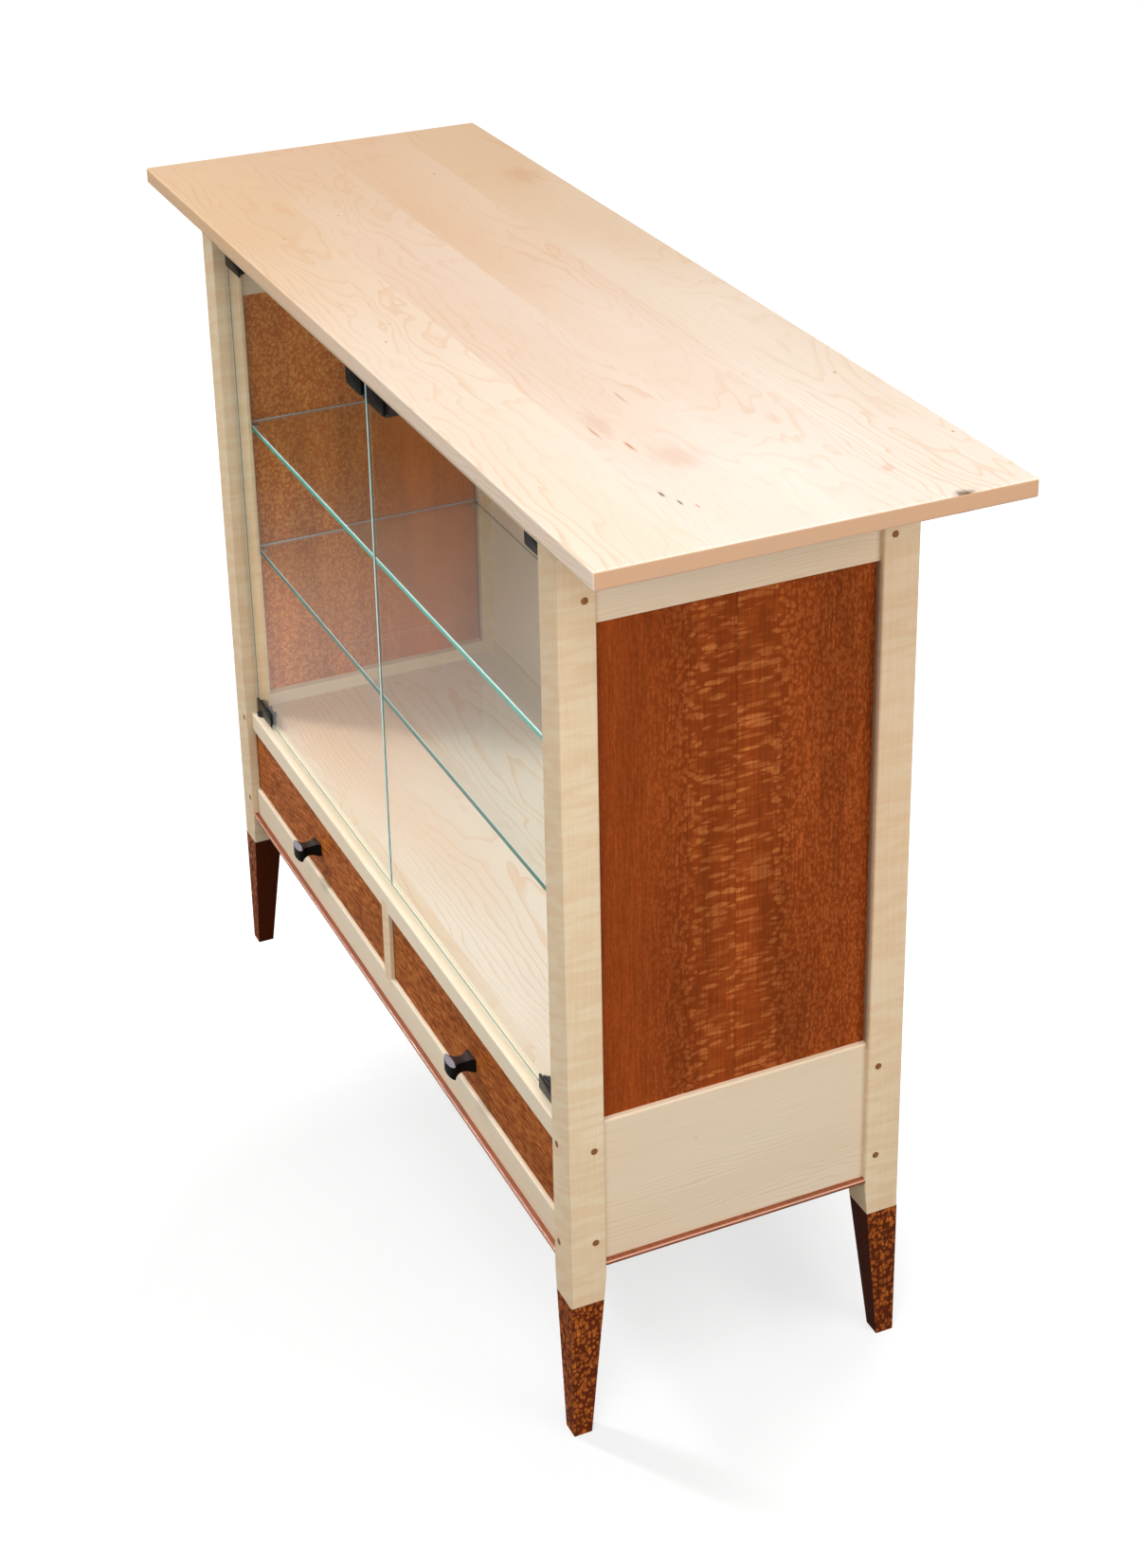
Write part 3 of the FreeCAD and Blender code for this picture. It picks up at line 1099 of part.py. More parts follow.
# Every feature must have worked, and every cut must have taken something away.
for thing in doc.Objects:
    if "Invalid" in thing.State or "Error" in thing.State:
        raise RuntimeError(thing.Label + " failed: " + str(thing.State))
for feature in cuts:
    before = feature.BaseFeature.Shape.Volume
    if feature.Shape.Volume > before - 0.1:
        raise RuntimeError(feature.Label + " cut nothing")
if len(nodes) > 60:
    raise RuntimeError("too many nodes")

os.makedirs("parts", exist_ok=True)
for name, shape_owner in nodes:
    shape = shape_owner.Shape
    if shape.isNull() or not shape.isValid():
        raise RuntimeError(name + " has no valid shape")
    shape.exportStep("parts/" + name + ".step")
    box = shape.BoundBox
    print(name, len(shape.Solids), round(shape.Volume / 1000, 1),
          [round(value, 1) for value in (box.XMin, box.XMax, box.YMin, box.YMax, box.ZMin, box.ZMax)])
print(len(nodes), "nodes")
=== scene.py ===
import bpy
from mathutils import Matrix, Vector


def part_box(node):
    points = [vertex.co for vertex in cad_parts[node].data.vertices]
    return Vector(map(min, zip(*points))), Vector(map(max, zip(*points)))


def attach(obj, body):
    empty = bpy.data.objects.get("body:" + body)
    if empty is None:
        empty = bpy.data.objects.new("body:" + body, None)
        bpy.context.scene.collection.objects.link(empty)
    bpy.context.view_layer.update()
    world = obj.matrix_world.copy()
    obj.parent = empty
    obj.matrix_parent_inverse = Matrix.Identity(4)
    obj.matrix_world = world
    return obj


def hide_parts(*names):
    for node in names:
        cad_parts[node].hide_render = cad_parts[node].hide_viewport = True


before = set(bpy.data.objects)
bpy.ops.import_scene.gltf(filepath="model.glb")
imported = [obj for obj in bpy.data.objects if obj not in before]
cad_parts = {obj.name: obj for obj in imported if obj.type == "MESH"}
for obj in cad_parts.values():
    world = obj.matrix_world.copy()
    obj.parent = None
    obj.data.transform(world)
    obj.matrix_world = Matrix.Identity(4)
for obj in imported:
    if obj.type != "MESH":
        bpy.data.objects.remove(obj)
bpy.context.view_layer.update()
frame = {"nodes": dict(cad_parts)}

import fnmatch
import functools
import math

import bmesh
import bpy
from mathutils import Matrix, Vector

bl_info = {
    "name": "Display cabinet",
    "version": (1, 0, 0),
    "blender": (4, 5, 0),
    "location": "3D View > Sidebar > Cabinet",
    "description": "Woods, glass and hardware of a maple and leopardwood display cabinet",
    "category": "Object",
}

nodes = frame["nodes"]

WHITE = (1.0, 1.0, 1.0, 1.0)
BLACK = (0.0, 0.0, 0.0, 1.0)
NOISE = (0.3, 0.7)  # where most values of a noise lie
EVEN = (0.5, 0.5, 0.5)  # a noise's mean colour
SMOOTH = {"interpolation_type": "SMOOTHSTEP"}

# Sizes of the patterns in metres: along the grain, across the board's face and through it.
DRIFT = (0.26, 0.075, 0.075)  # slow wander of maple's growth lines and of its colour
FIBRE = (0.045, 0.0008, 0.0008)  # fibres, 0.3 mm wide on the real board and drawn wider so that they show
PITH = (0.040, 0.018, 0.018)  # room of each pith fleck
CURL_REACH = 0.05  # how far a stripe of curly figure runs across the board
STREAK = (0.035, 0.0010, 0.0010)  # pores of leopardwood
CLOUD = (0.30, 0.035, 0.035)  # light and dark parts of leopardwood
EBONY_GRAIN = (0.0010, 0.020, 0.0010)  # here in the order X, Y, Z
RIPPLE = 0.0015  # orange peel of the lacquer
TURNING = 0.0005  # turning marks
GRIT = 0.0004  # spark-eroded texture, 0.1 mm on the real part and drawn coarser so that it shows

SHARP = math.radians(32)  # edges that turn further stay crisp

# Small measures of clamps and strikes in metres. The web is the part that passes over the glass edge.
PLATE_EASE, WEB_EASE = 0.0004, 0.0003  # how far the arrises are eased
SMALL = 0.0006  # radius of the corners that lie beside the wood
CLAMP_WEB, STRIKE_WEB = 0.0005, 0.0004  # radii of the web's corners
WEB_BACK = 0.0002  # how far the web stands back from the front
BAR_LEAN = 0.0012  # least height of the clamp's bar above the screws' line
SCREW_SUNK = 0.0005  # how far the screws' heads lie below the bar's face

# Marks on the top: middle, half length, half width, strength, and the colour of the maple group.
TOP_STAINS = (
    ((0.405, -0.040, 0.914), 0.042, 0.034, 0.22, "flame"),
    ((0.320, -0.070, 0.914), 0.040, 0.016, 0.22, "flame"),
    ((-0.357, 0.160, 0.914), 0.040, 0.026, 0.26, "flame"),
    ((0.505, 0.096, 0.914), 0.012, 0.009, 0.30, "flame"),
    ((0.372, -0.065, 0.914), 0.016, 0.0024, 0.80, "flame"),
    ((0.331, -0.079, 0.914), 0.022, 0.0020, 0.60, "flame"),
    ((0.273, -0.026, 0.914), 0.020, 0.0020, 0.50, "flame"),
    ((0.471, -0.085, 0.914), 0.009, 0.0020, 0.85, "knot"),
    ((0.490, -0.079, 0.914), 0.007, 0.0018, 0.80, "knot"),
    ((0.503, -0.070, 0.914), 0.006, 0.0016, 0.60, "flame"),
    ((0.575, 0.125, 0.9060), 0.012, 0.013, 0.95, "knot"),
)

# Maple boards: name, how they lie, colour of the maple group; blush, growth lines, swirl, pith flecks, height or depth
# of the pith; width of the boards that are glued up, and the CAD nodes.
MAPLE_BOARDS = (
    ("Maple of the end rails, planed and oiled", "end_rail", "rail", 0.28, 0.40, 0.048, 0.3, 0.36, 0.0,
     ("end_*_rail_*",)),
    ("Maple of the long rails, planed and oiled", "rail", "rail", 0.20, 0.20, 0.006, 0.2, 0.40, 0.0,
     ("front_*_rail", "sill_rail", "back_*_rail", "drawer_stops", "latch_block", "drawer_*_back")),
    ("Maple of the back panel, planed and oiled", "rail", "back", -0.15, 0.30, 0.020, 0.3, 0.50, 0.0,
     ("back_panel",)),
    ("Maple of the cabinet floor, planed and oiled", "flat", "floor", 0.45, 0.62, 0.026, 0.6, 0.42, 0.13,
     ("floor_panel", "drawer_*_bottom")),
    ("Maple of the drawer sides, planed", "end_rail", "rail", 0.3, 0.3, 0.008, 0.2, 0.30, 0.0,
     ("drawer_*_sides", "drawer_runners", "drawer_kickers", "top_buttons")),
)

# Lamps: name, place, what they aim at, width, height, spread in degrees and power in watts.
LAMPS = (
    ("key softbox", (1.3, -0.6, 2.8), (0.2, 0.0, 0.6), 1.5, 1.3, 180, 34),
    ("end softbox", (2.3, 1.1, 1.5), (0.3, 0.0, 0.5), 1.5, 1.5, 180, 28),
    ("side fill", (1.8, -1.2, 1.4), (-0.3, 0.0, 0.5), 0.9, 0.9, 180, 12),
    ("left lamp", (-1.6, -1.5, 2.4), (0.0, 0.0, 0.4), 0.30, 0.30, 180, 37),
    ("low left lamp", (-2.0, -1.7, 1.3), (0.1, -0.17, 0.22), 0.30, 0.30, 32, 0.9),
    ("back fill", (-1.2, 2.8, 1.7), (0.0, 0.0, 0.5), 1.6, 1.2, 180, 15),
)

# The board's own directions for each way that it can lie: along the grain, across its face, through it.
LIES = {
    "flat": ("X", "Y", "Z"),
    "rail": ("X", "Z", "Y"),
    "end_rail": ("Y", "Z", "X"),
    "upright": ("Z", "X", "Y"),
    "panel": ("Z", "Y", "X"),
}


def linear(colour):
    """A hex sRGB colour as the linear red, green, blue and alpha that a shader takes."""
    parts = [int(colour[place:place + 2], 16) / 255 for place in (1, 3, 5)]
    parts = [part / 12.92 if part <= 0.04045 else ((part + 0.055) / 1.055) ** 2.4 for part in parts]
    return (*parts, 1.0)


def colour(name, description, value):
    """A colour that a user can change."""
    return bpy.props.FloatVectorProperty(
        name=name, description=description, subtype="COLOR", size=4, min=0, max=1, default=linear(value))


def scalar(name, description, value, **unit):
    """A number that a user can change."""
    return bpy.props.FloatProperty(name=name, description=description, default=value, **unit)


def length(name, description, value):
    """A length in metres that a user can change."""
    return scalar(name, description, value, unit="LENGTH", precision=5)


class MapleProperties(bpy.types.PropertyGroup):
    """Hard maple, scraped and oiled."""
    sapwood: colour("Sapwood", "Cream of the pale boards", "#F4E6D8")
    blush: colour("Blush", "Peach cast in the boards", "#E0BC98")
    post: colour("Post wood", "Yellower cream of the curly posts", "#EBD7B5")
    floor: colour("Floor wood", "Cooler cream of the cabinet's floor", "#EADCCB")
    back: colour("Back wood", "Warm cream of the back panel", "#F4E3CD")
    rail: colour("Rail wood", "Greyer cream of the rails", "#EADBC1")
    latewood: colour("Latewood", "Thin line that ends each year's growth", "#D9A46C")
    flame: colour("Mineral stain", "Orange stain and pith flecks", "#C8814A")
    end_grain: colour("End grain", "Ends of the boards, darker with oil", "#C9A080")
    knot: colour("Knot", "Dark hearts of the small knots in the top", "#5A3E28")
    # Painted shade: the dark line in the corner between post and panel stands in for the shade there.
    corner: colour("Corner", "Dark line between post and panel", "#4A2A16")
    ring: length("Ring spacing", "Thickness of one year's growth", 0.0036)
    stave: length("Board width", "Width of the top's boards", 0.096)
    curl: length("Curl spacing", "Between the stripes of the curly figure", 0.008)


class LeopardwoodProperties(bpy.types.PropertyGroup):
    """Quartersawn leopardwood, planed and oiled."""
    ground: colour("Ground", "Red-brown between the rays", "#8F3F15")
    ray: colour("Rays", "Rays, cut through as lighter flecks", "#C1713A")
    # Painted light: the faces inside the cabinet are drawn lighter and more golden than the outer faces, for the light
    # that falls inside it.
    inner_lit_ground: colour("Golden ground", "Inside of the end panels", "#CE7428")
    inner_lit_ray: colour("Golden rays", "Flecks inside the end panels", "#F5B862")
    bead_ground: colour("Bead ground", "Ground of the beads", "#8A4626")
    bead_ray: colour("Bead rays", "Flecks of the beads", "#9A5634")
    # Painted highlight: the pale line along the beads' noses stands in for the light they catch.
    bead_highlight: colour("Bead crest", "Waxed line along the nose of the beads", "#D9A183")
    drawer_ground: colour("Drawer ground", "Ground of the drawer fronts", "#A04E1C")
    drawer_ray: colour("Drawer rays", "Flecks of the drawer fronts", "#D5873E")
    foot_ground: colour("Foot ground", "Darker ground of the feet", "#6E3014")
    foot_ray: colour("Foot rays", "Flecks of the feet", "#C66C2A")
    # Painted shade: the feet's inner faces stand under the cabinet, in its shadow.
    foot_inside_shade: colour("Foot inside", "Almost black inner faces of the feet", "#4A1C08")
    peg_ground: colour("Peg ground", "Ground of the walnut pegs", "#8A5A36")
    peg_ray: colour("Peg rays", "Pores and rays of the pegs' ends", "#A87445")
    lace: length("Lace width", "Width of the small round flecks", 0.0024)
    fleck: length("Fleck length", "Longest flecks, beside the joint", 0.030)
    fleck_height: length("Fleck height", "Height of the flecks", 0.0048)
    spread: length("Fleck band", "Half width of the band of long flecks", 0.052)


class GlassProperties(bpy.types.PropertyGroup):
    """Float glass with polished edges."""
    pane: colour("Pane", "Faint green of the clear faces", "#FCFFFE")
    shade: colour("Shade", "Lamp light that passes through a pane", "#FCFEFD")
    edge: colour("Edge", "Green of the upper shelf's front edge", "#2E9C8A")
    # Painted shade: the lower shelf is the same glass as the upper, drawn a darker green for the shade it stands in.
    shaded_edge: colour("Deep edge", "Darker green of the lower shelf's", "#0C5A49")
    # Painted light: the end and back edges are drawn greyish white for the light of the pale wood behind them.
    end: colour("End edge", "Greyish white of the end and back edges", "#C4CECD")
    arris: colour("Arris", "Light caught by the polished corner", "#E4FAF5")
    door_edge: colour("Door edge", "Grey-green of the door glass", "#3C5C53")


class BeadProperties(bpy.types.PropertyGroup):
    """Beads under the rails."""
    height: length("Height", "Beads, whose noses are half round", 0.0054)
    depth: length("Depth", "From the nose inwards", 0.026)
    post: length("Post", "Posts, between which the beads run", 0.0345)


class PullProperties(bpy.types.PropertyGroup):
    """Carved pulls."""
    black: colour("Ebony", "Black of the sides", "#080605")
    vein: colour("Vein", "Lighter grain in the black", "#16100D")
    # Painted reflection: the upper side and the head's sloping face are drawn lighter for the lamps above that they
    # mirror.
    upper_sheen: colour("Rubbed ebony", "Grey-brown of the upper side", "#2E2522")
    upper_sheen_vein: colour("Rubbed vein", "Lighter grain of the upper side", "#5B4E48")
    head_highlight: colour("Slate", "Grey of the sloping face on the head", "#87828A")
    base: length("Base", "Width on the drawer", 0.0200)
    waist: length("Waist", "Width at the waist", 0.0112)
    waist_reach: length("Waist reach", "Drawer face to the waist", 0.012)
    crown: length("Crown", "How far the head's front bulges", 0.004)
    cove: length("Cove", "Depth of the hollow over and under the waist", 0.0018)
    facet: length("Facet", "Sloping face, back from the shoulder", 0.0028)
    slope: scalar("Facet slope", "Fall of that face over its length", 0.30)


class ClampProperties(bpy.types.PropertyGroup):
    """Pivot clamps and strikes."""
    lacquer: colour("Lacquer", "Black lacquer on the castings", "#15110E")
    blacked: colour("Blackened steel", "Dark grey of the socket screws", "#3A3B3D")
    reach: length("Reach", "Plates up the glass", 0.0135)
    corner: length("Corner", "Radius of the free corners", 0.0028)
    screw_rise: length("Screw rise", "Screws from the glass edge", 0.0075)
    pitch: length("Screw spacing", "Distance between the screws", 0.0143)
    lobe: length("Lobe", "Radius of the bar round each screw", 0.0056)
    head: length("Screw", "Diameter of the screws", 0.0072)
    socket: length("Socket", "Width of the hexagon socket", 0.003)


class HardwareProperties(bpy.types.PropertyGroup):
    """Latch, bushes, pins and screws."""
    latch: colour("Latch", "Charcoal of the moulded latch", "#1E1A18")
    latch_light: colour("Latch texture", "Lighter grit of the latch", "#2A2522")
    bush: colour("Bush", "Black of the nylon bushes", "#1F1F20")
    bush_light: colour("Bush texture", "Lighter grit of the bushes", "#2B2B2C")
    nickel: colour("Nickel", "Plated pins and screws", "#C9C7C2")


class StageProperties(bpy.types.PropertyGroup):
    """Floor, light and camera."""
    floor: colour("Floor", "Paper of the floor, as the lamps light it", "#959595")
    # Painted shadow: the paper's white is dimmed to this round the cabinet, where its shadow lies.
    glow_with_painted_shadow: scalar("Floor white", "White of the paper at its middle, under the cabinet", 0.635)
    lens: scalar("Focal length", "In millimetres", 61.6)
    azimuth: scalar("Azimuth", "From the front towards the right end", math.radians(65.99), subtype="ANGLE")
    elevation: scalar("Elevation", "Height of the camera", math.radians(23.08), subtype="ANGLE")
    roll: scalar("Roll", "Turn of the camera about its axis", math.radians(-1.14), subtype="ANGLE")
    rise: scalar("Shift", "Vertical shift of the lens, in image heights", -0.20)
    place: bpy.props.FloatVectorProperty(
        name="Place", description="Where the camera stands", subtype="TRANSLATION", unit="LENGTH",
        default=(2.1760, -0.9229, 1.7448))


def add_node(tree, kind, *values, **named):
    """Adds one shader node.

    The kind may name an operation after a space. Values feed the inputs in order. A name with a capital is an
    input, with its spaces as underscores, and any other name is one of the node's settings. A node that is given
    as a value links its first output.
    """
    kind, _, operation = kind.partition(" ")
    made = tree.nodes.new("ShaderNode" + kind)
    if operation:
        setattr(made, "blend_type" if kind == "MixRGB" else "operation", operation.upper())
    feeds = dict(enumerate(values))
    for name, value in named.items():
        if name[0].isupper():
            feeds[name.replace("_", " ")] = value
        else:
            setattr(made, name, value)
    for key, value in feeds.items():
        if isinstance(value, bpy.types.Node):
            value = value.outputs[0]
        if isinstance(value, bpy.types.NodeSocket):
            tree.links.new(value, made.inputs[key])
        else:
            made.inputs[key].default_value = value
    return made


def emptied(owner):
    """Empties the node tree of a material or world, and gives the function that adds nodes to it."""
    owner.use_nodes = True
    owner.node_tree.nodes.clear()
    return functools.partial(add_node, owner.node_tree)


def new_material(name):
    """An empty node material of that name, and the function that adds nodes to it."""
    material = bpy.data.materials.new(name)
    return material, emptied(material)


def dress(material, *names):
    """Gives that material to the CAD nodes of those names, in which a star stands for any letters."""
    for name in names:
        fitting = fnmatch.filter(nodes, name)
        if not fitting:
            raise ValueError("the frame has no node " + name)
        for node in fitting:
            slots = nodes[node].data.materials
            slots.clear()
            slots.append(material)


def split(add, source):
    """The X, Y and Z of a point's place in the object, or of its normal."""
    return add("SeparateXYZ", add("TexCoord").outputs[source]).outputs


def pattern(add, axes, sizes):
    """Three coordinates, each divided by the size of a pattern in that direction."""
    return add("CombineXYZ", *(add("Math multiply", axis, 1 / size) for axis, size in zip(axes, sizes)))


def shove(add, noise, reach):
    """A shift in every direction, by the noise's colour times the reach."""
    shift = add("VectorMath subtract", noise.outputs["Color"], EVEN)
    return add("VectorMath multiply", shift, reach)


def finish(add, body, gloss, relief, strength, rise, **settings):
    """Ends a material with one shader, whose surface follows the relief."""
    raised = add("Bump", Strength=strength, Distance=rise, Height=relief)
    shader = add("BsdfPrincipled", Base_Color=body, Roughness=gloss, Normal=raised, **settings)
    add("OutputMaterial", shader)


def glued_up(add, along, across, width):
    """Boards of one width, side by side: the place in each board, and a colour that changes from board to board."""
    number = add("Math floor", add("Math divide", across, width))
    chance = add("TexWhiteNoise", W=number, noise_dimensions="1D")
    middle = add("Math multiply", add("Math", number, 0.5), width)
    # The pith lies a little off the middle, and each board was cut from another place along the log.
    off_middle = add("MapRange", chance.outputs["Value"], 0.0, 1.0, -0.4 * width, 0.4 * width)
    across = add("Math", add("Math subtract", across, middle), off_middle)
    along = add("Math", along, add("Math multiply", number, 0.37))
    return along, across, chance.outputs["Color"]


def growth_lines(add, across, depth, drift, ring, swirl, pith):
    """The latewood of each year: rings round the pith, cut by the board's face and pushed about by the swirl."""
    wander = add("TexNoise", Vector=drift, Scale=1.0, Detail=3.0, Distortion=0.4)
    under = add("Math subtract", depth, pith)
    radius = add("VectorMath length", add("CombineXYZ", across, under)).outputs["Value"]
    radius = add("Math", radius, add("Math multiply", wander, swirl))
    years = add("Math fract", add("Math divide", radius, ring))
    # The line darkens slowly and ends at once, and it fades out in places.
    late = add("MapRange", years, 0.62, 0.97, 0.0, 1.0, **SMOOTH)
    fall = add("MapRange", years, 0.97, 1.0, 1.0, 0.0)
    line = add("Math multiply", late, fall)
    fading = add("TexNoise", Vector=drift, Scale=0.55, Detail=1.0)
    fading = add("MapRange", fading, 0.35, 0.68, 0.15, 1.0, **SMOOTH)
    return add("Math multiply", line, fading)


def curly_stripes(add, axes, spacing):
    """Stripes that lie square to the grain on one face and climb across the next."""
    along, across, depth = axes
    climb = add("Math multiply", across, -0.45)
    wave = pattern(add, (add("Math", along, climb), across, depth), (spacing, CURL_REACH, CURL_REACH))
    stripes = add("TexNoise", Vector=wave, Scale=0.9, Roughness=0.45, Distortion=0.5)
    return add("MapRange", stripes, 0.34, 0.64, 0.0, 1.0, **SMOOTH)


def pith_flecks(add, axes, specks):
    """Small dots, in one cell out of four."""
    cells = add("TexVoronoi", Vector=pattern(add, axes, PITH), Scale=1.0)
    dot = add("MapRange", cells.outputs["Distance"], 0.035, 0.075, 1.0, 0.0)
    some = add("SeparateColor", cells.outputs["Color"])
    some = add("MapRange", some.outputs[0], 0.72, 0.74, 0.0, specks)
    return add("Math multiply", dot, some)


def stained(add, body, wood, drift, stains):
    """The wood with its stains and knots, which are smoky lenses along the grain."""
    smoke = add("TexNoise", Vector=drift, Scale=6.0, Detail=3.0, Roughness=0.6)
    for middle, half_long, half_wide, strength, tone in stains:
        place = add("TexCoord").outputs["Object"]
        place = add("VectorMath add", place, shove(add, smoke, (half_long, half_wide * 1.6, 0.0)))
        place = add("VectorMath subtract", place, middle)
        place = add("VectorMath multiply", place, (1 / half_long, 1 / half_wide, 20.0))
        reach = add("VectorMath length", place).outputs["Value"]
        mark = add("MapRange", reach, 0.2, 1.0, strength, 0.0, **SMOOTH)
        body = add("MixRGB", mark, body, getattr(wood, tone))
    return body


def painted_corner_shade(add, panel):
    """A dark line on the posts where they meet the end panel, whose least and greatest X and Z are given.

    It is painted shade, for the shade that falls in that corner.
    """
    near_x, far_x, near_z, far_z = panel
    facing, place = split(add, "Normal"), split(add, "Object")
    off = add("Math subtract", add("Math absolute", place["X"]), (near_x + far_x) / 2)
    off = add("Math subtract", add("Math absolute", off), (far_x - near_x) / 2)
    line = add("MapRange", off, 0.002, 0.009, 0.72, 0.0, **SMOOTH)
    # Only the faces that look towards the panel have it.
    inward = add("Math multiply", place["Y"], facing["Y"])
    inward = add("Math less_than", inward, -0.05)
    above = add("Math greater_than", place["Z"], near_z)
    below = add("Math less_than", place["Z"], far_z)
    for limit in (inward, above, below):
        line = add("Math multiply", line, limit)
    return line


def maple(name, lie, wood, pale, blush, rings, swirl, specks, pith, curl=0.0, stave=0.0, stains=(), blush_at_left=0.0,
          panel=None):
    """Hard maple, plain sawn, scraped and oiled: cream, with thin latewood lines and a soft satin gloss."""
    # The eye gets fine fibre, wandering contour lines, a drift from cream to peach and small brown pith flecks.
    material, add = new_material(name)
    place = split(add, "Object")
    along, across, depth = (place[letter] for letter in LIES[lie])
    if stave:
        along, across, tint = glued_up(add, along, across, stave)
    axes = along, across, depth
    drift = pattern(add, axes, DRIFT)
    line = growth_lines(add, across, depth, drift, wood.ring, swirl, pith)
    fibre = add("TexNoise", Vector=pattern(add, axes, FIBRE), Scale=1.0, Roughness=0.6)
    warm = add("TexNoise", Vector=drift, Scale=0.32)
    warm = add("MapRange", warm, 0.36, 0.66, max(0.0, blush - 0.45), min(1.0, blush + 0.45))
    if blush_at_left:
        # The blush is strongest at the top's left end and fades out before the right end.
        from_left = add("MapRange", place["X"], -0.575, 0.45, blush_at_left, 0.0)
        warm = add("Math", warm, from_left, use_clamp=True)
    body = add("MixRGB", warm, pale, wood.blush)
    if stave:
        body = add("MixRGB soft_light", 0.045, body, tint)
    body = add("MixRGB", add("Math multiply", line, rings), body, wood.latewood)
    if curl:
        stripes = curly_stripes(add, axes, wood.curl)
        body = add("MixRGB", add("Math multiply", stripes, curl), body, wood.latewood)
    body = add("MixRGB", pith_flecks(add, axes, specks), body, wood.flame)
    body = stained(add, body, wood, drift, stains)
    shade = add("MapRange", fibre, *NOISE, 0.955, 1.03)
    body = add("MixRGB multiply", 1.0, body, shade)
    # Painted shade in the corner where the posts meet the end panel.
    if panel:
        body = add("MixRGB", painted_corner_shade(add, panel), body, wood.corner)
    # The faces that are sawn across the grain.
    sawn = add("Math absolute", split(add, "Normal")[LIES[lie][0]])
    sawn = add("MapRange", sawn, 0.75, 0.95, 0.0, 1.0, **SMOOTH)
    end_grain = add("MixRGB", add("Math multiply", line, 0.5), wood.end_grain, wood.latewood)
    body = add("MixRGB", sawn, body, end_grain)
    finish(add, body, add("MapRange", fibre, *NOISE, 0.40, 0.54), fibre, 0.25, 0.0002, Specular_IOR_Level=0.15)
    return material


def two_leaves(add, wood, across, joint, cell):
    """Two leaves that meet at a joint, with long flecks beside it and lace beyond the fleck band.

    Gives the distance from the joint, one on the second leaf, one in the fleck band, and how many cells the
    flecks' stretching takes away at each place. One leaf has the longer flecks.
    """
    from_joint = add("Math subtract", across, joint)
    leaf = add("Math greater_than", from_joint, 0.0)
    share = add("Math divide", add("Math absolute", from_joint), wood.spread)
    band = add("MapRange", share, 0.62, 1.12, 1.0, 0.0, **SMOOTH)
    # Up to the band's edge the cells keep their full length. The power makes the change to lace quick but smooth.
    quick = 5.0
    share = add("Math", add("Math power", share, quick), 1.0)
    share = add("Math power", share, 1 / quick)
    taken = add("MapRange", leaf, 0.0, 1.0, 1 / cell - 1.5 / wood.fleck, 1 / cell - 1 / wood.fleck)
    taken = add("Math multiply", add("Math divide", from_joint, share), taken)
    return from_joint, leaf, band, taken


def painted_shade_inside(add):
    """One on the faces that look towards the middle of the cabinet, for pieces in all four corners: where shade is
    painted.
    """
    towards = add("VectorMath sign", add("TexCoord").outputs["Object"])
    towards = add("VectorMath multiply", towards, add("TexCoord").outputs["Normal"])
    towards = add("SeparateXYZ", towards).outputs
    towards = add("Math minimum", towards["X"], towards["Y"])
    return add("MapRange", towards, -0.8, -0.4, 1.0, 0.0)


def painted_nose_highlight(add):
    """One on the thin line where a rounded nose turns up, where a highlight is painted."""
    turn = split(add, "Normal")["Z"]
    rise = add("MapRange", turn, 0.20, 0.45, 0.0, 0.80, **SMOOTH)
    over = add("MapRange", turn, 0.62, 0.85, 1.0, 0.0, **SMOOTH)
    return add("Math multiply", rise, over)


